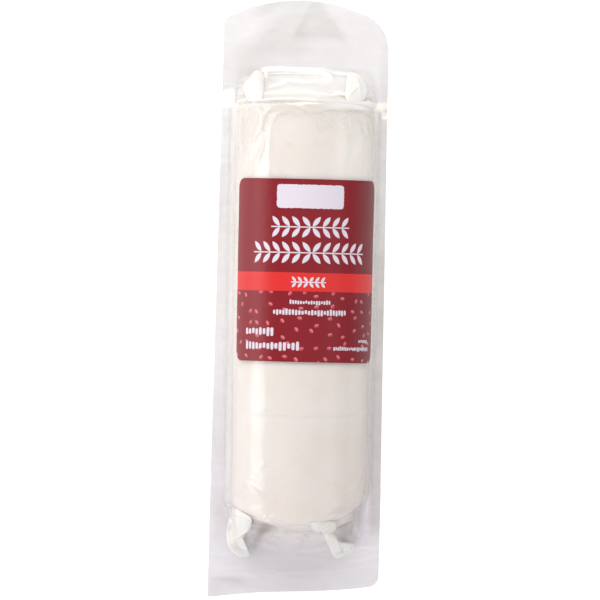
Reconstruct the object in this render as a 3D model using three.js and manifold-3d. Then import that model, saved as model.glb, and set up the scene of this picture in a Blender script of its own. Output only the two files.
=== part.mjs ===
// A log of fresh goat cheese, sealed under vacuum between two clear films, with a label on its front.
// Millimetres, +Z up. The pack lies on its back, label up: +Y runs along the log to the rounded
// opening tab and +X to the right-hand side of the label. The origin is on the ground, under the
// middle of the pack.
import * as THREE from "three";
import { mergeVertices } from "three/addons/utils/BufferGeometryUtils.js";
import Module from "manifold-3d";

// The cheese: a round log, slightly thinner towards its foot, pressed flat where it lies.
const LOG_RADIUS_TAB = 25.3;
const LOG_RADIUS_FOOT = 24.4;
const LOG_AXIS_HEIGHT = 23.9;
const LOG_OFFSET_TAB = 0.3;
const LOG_OFFSET_FOOT = 0.9;

// The two ends. `tip` is how far the log's rim lies from the middle of the pack, and the rim bows
// back by `bow` at its sides. `rim` holds the rounding of the rim in front and at each side. Past
// the rim the films form an empty pocket, `reach` long, that ends at the seal in a line that is
// `sealHalf` wide to each side.
const TAB_END = {
  sign: 1, tip: 69.6, bow: 0.8, rim: { front: 2.2, left: 3.5, right: 2.5 }, reach: 12.6, sealHalf: 18.2,
};
const FOOT_END = {
  sign: -1, tip: 78.3, bow: 4.6, rim: { front: 2, left: 3, right: 8.5 }, reach: 11.8, sealHalf: 18.6,
};
const SEAL_BOW_SHARE = 0.4;

// The shape of the pockets: how hollow their front and back are and how full their sides are. The
// films leave the cheese this share of a turn short of its end face.
const POCKET_HOLLOW = 1.7;
const POCKET_SHOULDER = 2;
const CONTACT_SHARE = 0.35;

// The flat border, where the films are sealed together at the height of the log's axis.
const BORDER_THICKNESS = 0.44;
const BORDER_HALF_WIDTH = 29.4;
const BORDER_WIDENING = 0.0059;
const BORDER_WAVE = 0.8;
const BORDER_WAVE_LENGTH = 76;
const TAB_APEX = 104.8;
const TAB_ARC_RADIUS = 54;
const TAB_ARC_OFFSET = -2;
const TAB_CORNERS = { left: 2, right: 9.5 };
const TAB_CORNER_DROP = 0.45;
const FOOT_EDGE = -102.1;
const FOOT_SKEW = 0.09;
const FOOT_SWAY = 0.5;
const FOOT_CORNERS = { left: 0.8, right: 3.5 };

// The films close on the side of the log this far outside it, after leaving it at this angle.
const SIDE_GAP = 0.9;
const SIDE_ANGLE = 10;

// The label: its width along the curve and its turn round the log.
const LABEL_WIDTH = 59.5;
const LABEL_LENGTH = 63.5;
const LABEL_TOP = 42;
const LABEL_TURN = 6.2;
const LABEL_CORNER = 2.1;
const LABEL_THICKNESS = 0.2;
const LABEL_CLEARANCE = 0.3;

// How finely the surfaces are divided.
const ARCH_STEPS = 24;
const BORDER_STEPS = 3;
const RIM_STEPS = 3;
const BODY_STEPS = 6;
const LABEL_STEPS = 20;
const FOLD_SIDES = 8;
const FOLD_STEPS = 12;

// The gathered folds at the corners of the pockets. Each runs along the film from the rim, at
// `from`, over `over` to `to` at the seal, all three across the pack. `face` is 1 in front and -1
// behind, and `width` is the fold's width at its middle.
const CORNER_FOLDS = [
  { end: FOOT_END, face: 1, from: -19.6, over: -19.4, to: -17.8, width: 8, roll: 60 },
  { end: FOOT_END, face: 1, from: 9.5, over: 12, to: 16.5, width: 6.4, roll: -55 },
  { end: TAB_END, face: 1, from: -17.5, over: -18.6, to: -16.8, width: 7, roll: -50 },
  { end: TAB_END, face: 1, from: 17.5, over: 17.6, to: 15.4, width: 6.6, roll: 50 },
  { end: FOOT_END, face: -1, from: -18, over: -19.5, to: -16.5, width: 7, roll: -45 },
  { end: FOOT_END, face: -1, from: 17, over: 18, to: 17, width: 6.6, roll: 45 },
  { end: TAB_END, face: -1, from: -18.5, over: -19, to: -16.5, width: 6.8, roll: 40 },
  { end: TAB_END, face: -1, from: 18.5, over: 19, to: 16.5, width: 7, roll: -50 },
];
const FOLD_DEPTH = 4.2;
const FOLD_PROUD = 0.9;

// The roll of slack film that lies along the rim at the tab end, from side to side.
const RIM_ROLL = { from: -19, to: 23.5, inset: 0.8, width: 2.6, depth: 1.8, proud: 0.1 };

const FILM = new THREE.MeshStandardMaterial({ color: 0xf4f0e9, roughness: 0.2, metalness: 0 });
const LABEL_PAPER = new THREE.MeshStandardMaterial({ color: 0x8a2430, roughness: 0.45, metalness: 0 });

const { lerp, degToRad, clamp } = THREE.MathUtils;
const wasm = await Module();
wasm.setup();

// How far along the log a place is: 0 at its foot and 1 at its tab end.
function along(y) {
  return clamp((y + FOOT_END.tip) / (TAB_END.tip + FOOT_END.tip), 0, 1);
}

function logRadius(y) {
  return lerp(LOG_RADIUS_FOOT, LOG_RADIUS_TAB, along(y));
}

function logOffset(y) {
  return lerp(LOG_OFFSET_FOOT, LOG_OFFSET_TAB, along(y));
}

function borderHalfWidth(y) {
  return BORDER_HALF_WIDTH - BORDER_WIDENING * y;
}

// The rounding of an end's rim at a share of the log's radius to the side, from -1 to 1.
function rimRounding({ rim }, aside) {
  return lerp(rim.front, aside < 0 ? rim.left : rim.right, Math.abs(aside) ** 3);
}

// A point across an end of the log: its distance from the middle of the pack and the share of the
// log's radius that is left, after turning `turned` of the way over the rim.
function rimPoint(end, aside, turned) {
  const rounding = rimRounding(end, aside);
  const angle = (turned * Math.PI) / 2;
  const tip = end.tip - end.bow * aside ** 2;
  return {
    reach: tip - rounding * (1 - Math.sin(angle)),
    share: 1 - (rounding * (1 - Math.cos(angle))) / logRadius(end.sign * end.tip),
  };
}

// A rounded corner: the furthest reach at x of an edge that reaches `limit` there.
function rounded(limit, inset, radius) {
  if (inset >= radius) return limit;
  return limit - radius + Math.sqrt(Math.max(0, radius * radius - (radius - inset) ** 2));
}

function tabEdge(x) {
  const arcCentre = TAB_APEX - TAB_ARC_RADIUS;
  const edge = (at) => arcCentre + Math.sqrt(TAB_ARC_RADIUS ** 2 - (at - TAB_ARC_OFFSET) ** 2);
  const radius = x > 0 ? TAB_CORNERS.right : TAB_CORNERS.left;
  const inset = borderHalfWidth(TAB_APEX) - Math.abs(x);
  if (inset >= radius) return edge(x);
  const start = Math.sign(x) * (borderHalfWidth(TAB_APEX) - radius);
  return rounded(lerp(edge(start), edge(x), TAB_CORNER_DROP), inset, radius);
}

function footEdge(x) {
  const radius = x > 0 ? FOOT_CORNERS.right : FOOT_CORNERS.left;
  const edge = FOOT_EDGE + FOOT_SKEW * x - FOOT_SWAY * Math.sin((Math.PI * x) / BORDER_HALF_WIDTH);
  return -rounded(-edge, borderHalfWidth(FOOT_EDGE) - Math.abs(x), radius);
}

// The columns of the grid across the pack. A column over the log has an angle round it, and one in
// the border has a side and its share of the way out.
function columns() {
  const made = [];
  for (let i = 0; i <= BORDER_STEPS; i += 1) made.push({ side: -1, out: 1 - i / BORDER_STEPS });
  for (let i = 0; i <= ARCH_STEPS; i += 1) {
    made.push({ angle: degToRad(lerp(180 - SIDE_ANGLE, SIDE_ANGLE, i / ARCH_STEPS)) });
  }
  for (let i = 0; i <= BORDER_STEPS; i += 1) made.push({ side: 1, out: i / BORDER_STEPS });
  return made;
}

// The rows of the grid along the pack, from the tab's edge to the foot's edge. `flat` is the share
// of the way out from the seal, `sunk` from the rim to the seal and `turned` over the rim.
function rows() {
  const outwards = (end) => {
    const made = [];
    for (let i = 0; i < RIM_STEPS; i += 1) made.push({ end, turned: (i / RIM_STEPS) * (1 - CONTACT_SHARE) });
    for (const sunk of [0, 0.06, 0.14, 0.24, 0.36, 0.5, 0.66, 0.84, 1]) made.push({ end, sunk });
    for (const flat of [0.15, 0.4, 0.7, 1]) made.push({ end, flat });
    return made;
  };
  const made = outwards(TAB_END).toReversed();
  for (let i = 1; i < BODY_STEPS; i += 1) made.push({ body: i / BODY_STEPS });
  return [...made, ...outwards(FOOT_END)];
}

// One point of the front film's grid: x, y, its rise over the border and how far it is out in it.
function filmPoint(row, column) {
  const { end, turned, sunk, flat } = row;
  const inLog = column.angle !== undefined;
  const aside = inLog ? Math.cos(column.angle) : column.side;
  if (!end) {
    const tabSide = rimPoint(TAB_END, aside, 0).reach;
    const footSide = -rimPoint(FOOT_END, aside, 0).reach;
    const y = lerp(tabSide, footSide, row.body);
    const inner = logOffset(y) + aside * (logRadius(y) + (inLog ? 0 : SIDE_GAP));
    if (inLog) return { x: inner, y, rise: logRadius(y) * Math.sin(column.angle), out: 0 };
    return { x: lerp(inner, column.side * borderHalfWidth(y), column.out), y, rise: 0, out: column.out };
  }
  const sinking = sunk ?? (flat === undefined ? 0 : 1);
  const rim = rimPoint(end, aside, turned ?? 1 - CONTACT_SHARE);
  const radius = logRadius(end.sign * end.tip) * rim.share;
  const offset = logOffset(end.sign * end.tip);
  const even = inLog ? 1 - (2 * column.angle) / Math.PI : column.side;
  const gap = inLog ? 0 : SIDE_GAP * column.side;
  const inner = offset + lerp(aside * radius, even * end.sealHalf, sinking ** POCKET_SHOULDER) + gap;
  const x = inLog ? inner : lerp(inner, column.side * borderHalfWidth(end.sign * end.tip), column.out);
  const seal = end.tip - end.bow * SEAL_BOW_SHARE * aside ** 2 + end.reach;
  let y = end.sign * lerp(rim.reach, seal, sinking);
  if (flat !== undefined) y = lerp(y, end.sign > 0 ? tabEdge(x) : footEdge(x), flat);
  const rise = inLog ? radius * Math.sin(column.angle) * (1 - sinking) ** POCKET_HOLLOW : 0;
  return { x, y, rise, out: Math.max(inLog ? 0 : column.out, flat ?? 0) };
}

// The height of the border's middle. It is never quite flat.
function borderHeight({ x, y, out }) {
  const roll = Math.sin((2 * Math.PI * y) / BORDER_WAVE_LENGTH + x / BORDER_HALF_WIDTH);
  return LOG_AXIS_HEIGHT + BORDER_WAVE * roll * out ** 2;
}

// A closed mesh from two grids of points with the same rows and columns: `top` and `bottom`.
function closedSheet(top, bottom) {
  const rowCount = top.length;
  const columnCount = top[0].length;
  const positions = [...top.flat(), ...bottom.flat()].flatMap((point) => point.toArray());
  const index = [];
  const at = (level, i, j) => (level * rowCount + i) * columnCount + j;
  const quad = (a, b, c, d) => index.push(a, b, c, a, c, d);
  for (let i = 0; i + 1 < rowCount; i += 1) {
    for (let j = 0; j + 1 < columnCount; j += 1) {
      quad(at(0, i, j), at(0, i + 1, j), at(0, i + 1, j + 1), at(0, i, j + 1));
      quad(at(1, i, j), at(1, i, j + 1), at(1, i + 1, j + 1), at(1, i + 1, j));
    }
  }
  const lastColumn = columnCount - 1;
  for (let i = 0; i + 1 < rowCount; i += 1) {
    quad(at(0, i, 0), at(1, i, 0), at(1, i + 1, 0), at(0, i + 1, 0));
    quad(at(0, i + 1, lastColumn), at(1, i + 1, lastColumn), at(1, i, lastColumn), at(0, i, lastColumn));
  }
  const lastRow = rowCount - 1;
  for (let j = 0; j + 1 < columnCount; j += 1) {
    quad(at(0, 0, j + 1), at(1, 0, j + 1), at(1, 0, j), at(0, 0, j));
    quad(at(0, lastRow, j), at(1, lastRow, j), at(1, lastRow, j + 1), at(0, lastRow, j + 1));
  }
  return indexedGeometry(positions, index);
}

function indexedGeometry(positions, index) {
  const geometry = new THREE.BufferGeometry();
  geometry.setAttribute("position", new THREE.Float32BufferAttribute(positions, 3));
  geometry.setIndex(index);
  return geometry;
}

// The wrapped log and its border, before the folds at its corners are added.
function wrappedLog() {
  const half = BORDER_THICKNESS / 2;
  const grid = rows().map((row) => columns().map((column) => filmPoint(row, column)));
  const face = (height) => grid.map((row) => row.map((p) => new THREE.Vector3(p.x, p.y, height(p))));
  const front = face((p) => borderHeight(p) + p.rise + half);
  const back = face((p) => Math.max(0, borderHeight(p) - p.rise - half));
  return closedSheet(front, back);
}

// How far a film stands off the border at x, `past` the rim of an end.
function pocketRise(end, x, past) {
  const place = end.sign * end.tip;
  const radius = logRadius(place) * rimPoint(end, x / logRadius(place), 1 - CONTACT_SHARE).share;
  const arch = Math.sqrt(Math.max(0, radius ** 2 - (x - logOffset(place)) ** 2));
  return arch * (1 - clamp(past / end.reach, 0, 1)) ** POCKET_HOLLOW;
}

// The stations of a corner fold: its place, its share of the fold's full width and its depth.
function foldStations({ end, face, from, over, to }) {
  const station = (x, past, wide, deep) => {
    const rise = pocketRise(end, x, past) + FOLD_PROUD * deep;
    const y = end.sign * (end.tip - end.bow * (x / LOG_RADIUS_FOOT) ** 2 + past);
    return { at: new THREE.Vector3(x, y, LOG_AXIS_HEIGHT + face * rise), wide, deep };
  };
  return [
    station(from, -2.6, 0.7, 0.5),
    station(lerp(from, over, 0.5), 0.4, 1, 1),
    station(over, 4.2, 0.95, 1),
    station(lerp(over, to, 0.6), 8, 0.8, 0.8),
    station(to, end.reach + 0.6, 0.35, 0.35),
  ];
}

// The stations of the roll along the tab's rim.
function rollStations() {
  const { from, to, inset, proud } = RIM_ROLL;
  return [0, 0.25, 0.5, 0.75, 1].map((share) => {
    const x = lerp(from, to, share);
    const aside = x / LOG_RADIUS_TAB;
    const y = TAB_END.tip - TAB_END.bow * aside ** 2 - inset;
    const rise = Math.sqrt(logRadius(y) ** 2 - (x - logOffset(y)) ** 2) + proud;
    const wide = share === 0 ? 0.4 : 0.7 + 0.3 * share;
    return { at: new THREE.Vector3(x, y, LOG_AXIS_HEIGHT + rise), wide, deep: wide };
  });
}

// A gathered fold of film: a flattened tube along its stations, turning by `roll` as it goes.
function gatheredFold(stations, fullWidth, fullDepth, roll) {
  const spine = new THREE.CatmullRomCurve3(stations.map((s) => s.at));
  const positions = [];
  for (let i = 0; i <= FOLD_STEPS; i += 1) {
    const place = (i / FOLD_STEPS) * (stations.length - 1);
    const before = stations[Math.floor(place)];
    const after = stations[Math.ceil(place)];
    const part = place - Math.floor(place);
    const width = fullWidth * lerp(before.wide, after.wide, part);
    const depth = fullDepth * lerp(before.deep, after.deep, part);
    const forward = spine.getTangent(i / FOLD_STEPS);
    const sideways = new THREE.Vector3(0, 0, 1).cross(forward).normalize();
    sideways.applyAxisAngle(forward, degToRad((roll * i) / FOLD_STEPS));
    const upward = forward.clone().cross(sideways);
    for (let k = 0; k < FOLD_SIDES; k += 1) {
      const turn = (2 * Math.PI * k) / FOLD_SIDES;
      const point = spine.getPoint(i / FOLD_STEPS);
      point.addScaledVector(sideways, (width / 2) * Math.cos(turn));
      point.addScaledVector(upward, (depth / 2) * Math.sin(turn));
      positions.push(...point.toArray());
    }
  }
  return indexedGeometry(positions, tubeIndex(FOLD_STEPS, FOLD_SIDES));
}

// The faces of a tube with flat ends.
function tubeIndex(steps, sides) {
  const index = [];
  for (let i = 0; i < steps; i += 1) {
    for (let k = 0; k < sides; k += 1) {
      const a = i * sides + k;
      const b = i * sides + ((k + 1) % sides);
      index.push(a, b, b + sides, a, b + sides, a + sides);
    }
  }
  const last = steps * sides;
  for (let k = 1; k + 1 < sides; k += 1) index.push(0, k + 1, k, last, last + k, last + k + 1);
  return index;
}

function toManifold(geometry) {
  const merged = mergeVertices(geometry, 1e-4);
  const mesh = new wasm.Mesh({
    numProp: 3,
    vertProperties: merged.attributes.position.array,
    triVerts: new Uint32Array(merged.index.array),
  });
  return new wasm.Manifold(mesh);
}

function toGeometry(solid) {
  const mesh = solid.getMesh();
  return indexedGeometry([...mesh.vertProperties], [...mesh.triVerts]);
}

function sealedPack() {
  let solid = toManifold(wrappedLog());
  for (const fold of CORNER_FOLDS) {
    solid = solid.add(toManifold(gatheredFold(foldStations(fold), fold.width, FOLD_DEPTH, fold.roll)));
  }
  solid = solid.add(toManifold(gatheredFold(rollStations(), RIM_ROLL.width, RIM_ROLL.depth, 0)));
  const mesh = new THREE.Mesh(toGeometry(solid), FILM);
  mesh.name = "sealed_pack";
  return mesh;
}

// The label is a thin sheet bent round the front of the log, a little proud of the film.
function label() {
  const corner = [0, 0.15, 0.5, 1].map((share) => share * LABEL_CORNER);
  const downs = [...corner, LABEL_LENGTH / 2, ...corner.toReversed().map((down) => LABEL_LENGTH - down)];
  const face = (thickness) =>
    downs.map((down) => {
      const halfWidth = rounded(LABEL_WIDTH / 2, Math.min(down, LABEL_LENGTH - down), LABEL_CORNER);
      return Array.from({ length: LABEL_STEPS + 1 }, (_, i) => {
        const aside = halfWidth * ((2 * i) / LABEL_STEPS - 1);
        const y = LABEL_TOP - down;
        const radius = logRadius(y) + BORDER_THICKNESS / 2 + LABEL_CLEARANCE + thickness;
        const turn = degToRad(LABEL_TURN) + aside / logRadius(y);
        const x = logOffset(y) + radius * Math.sin(turn);
        return new THREE.Vector3(x, y, LOG_AXIS_HEIGHT + radius * Math.cos(turn));
      });
    });
  const mesh = new THREE.Mesh(closedSheet(face(LABEL_THICKNESS), face(0)), LABEL_PAPER);
  mesh.name = "label";
  return mesh;
}

const pack = new THREE.Group();
pack.add(sealedPack(), label());

export default pack;
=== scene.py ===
"""A log of fresh goat cheese in its vacuum pack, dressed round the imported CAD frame.

Lengths are in millimetres in every class, and become metres where a mesh is placed.
"""
import logging
import math
from collections.abc import Sequence
from dataclasses import dataclass
from enum import Enum

import bpy
import numpy as np
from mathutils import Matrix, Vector, noise


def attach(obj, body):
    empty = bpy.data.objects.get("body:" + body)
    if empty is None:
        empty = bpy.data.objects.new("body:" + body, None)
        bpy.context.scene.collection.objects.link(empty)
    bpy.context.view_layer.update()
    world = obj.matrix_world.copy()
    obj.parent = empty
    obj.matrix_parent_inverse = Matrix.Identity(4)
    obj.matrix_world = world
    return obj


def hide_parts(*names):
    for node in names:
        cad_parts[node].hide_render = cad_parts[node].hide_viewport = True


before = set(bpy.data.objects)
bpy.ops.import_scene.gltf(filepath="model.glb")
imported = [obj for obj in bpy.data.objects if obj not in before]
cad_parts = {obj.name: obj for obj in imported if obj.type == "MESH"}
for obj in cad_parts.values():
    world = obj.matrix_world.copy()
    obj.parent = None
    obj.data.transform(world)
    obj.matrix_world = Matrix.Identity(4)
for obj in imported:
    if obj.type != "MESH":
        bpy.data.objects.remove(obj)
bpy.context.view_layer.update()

BODY = "root"
MM = 0.001
LOG = logging.getLogger("goat_cheese")

Colour = tuple[float, float, float]
Point = tuple[float, float]


class Slot(Enum):
    """The record's material slots."""

    CHEESE = "filmed_cheese"
    LABEL = "label"


class Relief(Enum):
    """How a line of relief stands off the film."""

    FOLD = "fold"
    ROLL = "roll"
    CREASE = "crease"


def srgb(red: int, green: int, blue: int) -> Colour:
    """Turns a colour from 0 to 255 into linear light.

    Args:
        red: The red share.
        green: The green share.
        blue: The blue share.

    Returns:
        The same colour in linear light.
    """
    def linear(value: int) -> float:
        """One channel in linear light."""
        share = value / 255
        return share / 12.92 if share <= 0.04045 else ((share + 0.055) / 1.055) ** 2.4

    return linear(red), linear(green), linear(blue)


def blend(low: float | np.ndarray, high: float | np.ndarray, share: float | np.ndarray) -> np.ndarray:
    """The value that lies a share of the way from low to high."""
    return low + (high - low) * share


def smooth(low: float, high: float, value: np.ndarray) -> np.ndarray:
    """A share that eases from 0 at low to 1 at high."""
    share = np.clip((value - low) / (high - low), 0, 1)
    return share * share * (3 - 2 * share)


@dataclass(frozen=True)
class Ease:
    """A share that eases from 0 at one value to 1 at another."""

    low: float
    high: float

    def at(self, value: float | np.ndarray) -> np.ndarray:
        """The share at a value."""
        return smooth(self.low, self.high, value)

    def past(self, value: float | np.ndarray) -> np.ndarray:
        """What is left of the share at a value."""
        return 1 - self.at(value)


@dataclass(frozen=True)
class Band:
    """A share that eases from 0 to 1 between two values and back to 0 between two more."""

    start: float
    full: float
    falling: float
    end: float

    def at(self, value: float | np.ndarray) -> np.ndarray:
        """The share at a value."""
        return smooth(self.start, self.full, value) * (1 - smooth(self.falling, self.end, value))


def curve_through(points: Sequence[Sequence[float]], count: int) -> np.ndarray:
    """Samples a smooth curve through a few points.

    Args:
        points: The points that the curve passes through.
        count: How many samples to take.

    Returns:
        The samples, one row each.
    """
    given = np.asarray(points, float)
    padded = np.vstack([2 * given[0] - given[1], given, 2 * given[-1] - given[-2]])
    place = np.linspace(0, len(given) - 1, count)
    start = np.minimum(place.astype(int), len(given) - 2)
    share = (place - start)[:, None]
    before, here, after, beyond = (padded[start + k] for k in range(4))
    return 0.5 * (
        2 * here
        + (after - before) * share
        + (2 * before - 5 * here + 4 * after - beyond) * share**2
        + (3 * here - before - 3 * after + beyond) * share**3
    )


def field_noise(points: np.ndarray, seed: float) -> np.ndarray:
    """Smooth noise from -1 to 1.

    Args:
        points: The places to read, one row each, in units of the noise's grain.
        seed: Moves the pattern, so that each use differs.

    Returns:
        One value for each place.
    """
    return np.array([noise.noise(Vector((p[0] + seed, p[1] - seed, p[2]))) for p in points])


def grains(x: np.ndarray, y: np.ndarray, wide: float, tall: float) -> np.ndarray:
    """Places on the pack, one row each, in grains of noise of a width and a height."""
    return np.stack([x.ravel() / wide, y.ravel() / tall, 0 * x.ravel()], axis=1)


def facet_noise(points: np.ndarray, seed: float) -> np.ndarray:
    """Noise like crumpled film: flat facets that meet in sharp lines.

    Args:
        points: The places to read, one row each, in units of a facet.
        seed: Moves the pattern, so that each use differs.

    Returns:
        One value for each place, about 0 on average.
    """
    def facet(p: np.ndarray) -> float:
        """How far one place lies from the nearest crumple point."""
        distances, _ = noise.voronoi(Vector((p[0] + seed, p[1] - seed, p[2])))
        return distances[0]

    return np.array([facet(p) for p in points]) - 0.45


class Bench:
    """Calls to the modelling tools that several pieces share."""

    @staticmethod
    def clear() -> None:
        """Deselects everything."""
        bpy.ops.object.select_all(action="DESELECT")

    @staticmethod
    def pick(piece: bpy.types.Object) -> None:
        """Makes one piece the only one selected."""
        Bench.clear()
        piece.select_set(True)
        bpy.context.view_layer.objects.active = piece

    @staticmethod
    def read(piece: bpy.types.Object) -> np.ndarray:
        """The places of a piece's vertices."""
        places = np.empty(len(piece.data.vertices) * 3)
        piece.data.vertices.foreach_get("co", places)
        return places.reshape(-1, 3)

    @staticmethod
    def place(piece: bpy.types.Object, points: np.ndarray) -> None:
        """Moves a piece's vertices to places given in millimetres."""
        piece.data.vertices.foreach_set("co", (points * MM).astype(np.float32).ravel())
        piece.data.update()

    @staticmethod
    def grid(name: str, rows: int, columns: int, thick: bool) -> tuple[bpy.types.Object, np.ndarray]:
        """Adds a grid to be shaped.

        Args:
            name: The piece's name.
            rows: How many rows of vertices it has.
            columns: How many columns of vertices it has.
            thick: Whether it is extruded to a closed slab with a lower and an upper face.

        Returns:
            The piece, and for each vertex its row, its column and its face, 0 below and 1 above.
        """
        Bench.clear()
        bpy.ops.mesh.primitive_grid_add(x_subdivisions=columns - 1, y_subdivisions=rows - 1, size=2)
        piece = bpy.context.object
        piece.name = name
        piece.data.name = name
        if thick:
            bpy.ops.object.mode_set(mode="EDIT")
            bpy.ops.mesh.select_all(action="SELECT")
            bpy.ops.mesh.extrude_region_move(TRANSFORM_OT_translate={"value": (0, 0, 1)})
            bpy.ops.object.mode_set(mode="OBJECT")
        found = Bench.read(piece)
        row = np.rint((1 - found[:, 1]) / 2 * (rows - 1)).astype(int)
        column = np.rint((found[:, 0] + 1) / 2 * (columns - 1)).astype(int)
        return piece, np.stack([row, column, np.rint(found[:, 2]).astype(int)])

    @staticmethod
    def close(piece: bpy.types.Object, merge: float = 0.002, crisp: float = 180.0) -> None:
        """Merges a piece's doubles, turns its faces outwards and smooths its shading.

        Args:
            piece: The piece.
            merge: How near two vertices are merged, in millimetres.
            crisp: The angle in degrees from which an edge stays crisp.
        """
        Bench.pick(piece)
        bpy.ops.object.mode_set(mode="EDIT")
        bpy.ops.mesh.select_all(action="SELECT")
        bpy.ops.mesh.remove_doubles(threshold=merge * MM)
        bpy.ops.mesh.normals_make_consistent(inside=False)
        bpy.ops.object.mode_set(mode="OBJECT")
        bpy.ops.object.shade_smooth_by_angle(angle=math.radians(crisp))
        Bench.clear()

    @staticmethod
    def attribute(piece: bpy.types.Object, name: str, values: np.ndarray) -> None:
        """Stores one number at each vertex under a name that a material reads."""
        layer = piece.data.attributes.new(name, "FLOAT", "POINT")
        layer.data.foreach_set("value", values.astype(np.float32))

    @staticmethod
    def settle(piece: bpy.types.Object, material: bpy.types.Material, slot: Slot, *nodes: str) -> None:
        """Gives a piece its material and its place in the frame.

        Args:
            piece: The piece.
            material: The material that it wears.
            slot: The record's slot that its finish belongs to. It is not used.
            *nodes: The CAD nodes that it stands for.
        """
        piece.data.materials.clear()
        piece.data.materials.append(material)
        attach(piece, BODY)
        if nodes:
            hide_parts(*nodes)
        LOG.info("%s: %d faces", piece.name, len(piece.data.polygons))


@dataclass(frozen=True)
class LogEnd:
    """One end of the log and the pocket of film past it."""

    sign: int
    tip: float
    bow: float
    rim_front: float
    rim_left: float
    rim_right: float
    reach: float
    seal_half: float

    def rounding(self, aside: np.ndarray) -> np.ndarray:
        """The rim's rounding at shares of the radius to the side, from -1 to 1."""
        side = np.where(aside < 0, self.rim_left, self.rim_right)
        return blend(self.rim_front, side, np.abs(aside) ** 3)


@dataclass(frozen=True)
class Row:
    """One row of the grid along the pack.

    A row of an end is over the rim by `turned`, down the pocket by `sunk` or out in the border by
    `flat`. Any other row is `body` of the way along the log from the tab's end to the foot's.
    """

    end: LogEnd | None = None
    turned: float | None = None
    sunk: float | None = None
    flat: float | None = None
    body: float = 0.0


@dataclass(frozen=True)
class Columns:
    """The columns of the grid across the pack, as one array for each property."""

    in_log: np.ndarray
    aside: np.ndarray
    lift: np.ndarray
    even: np.ndarray
    out: np.ndarray


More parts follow.
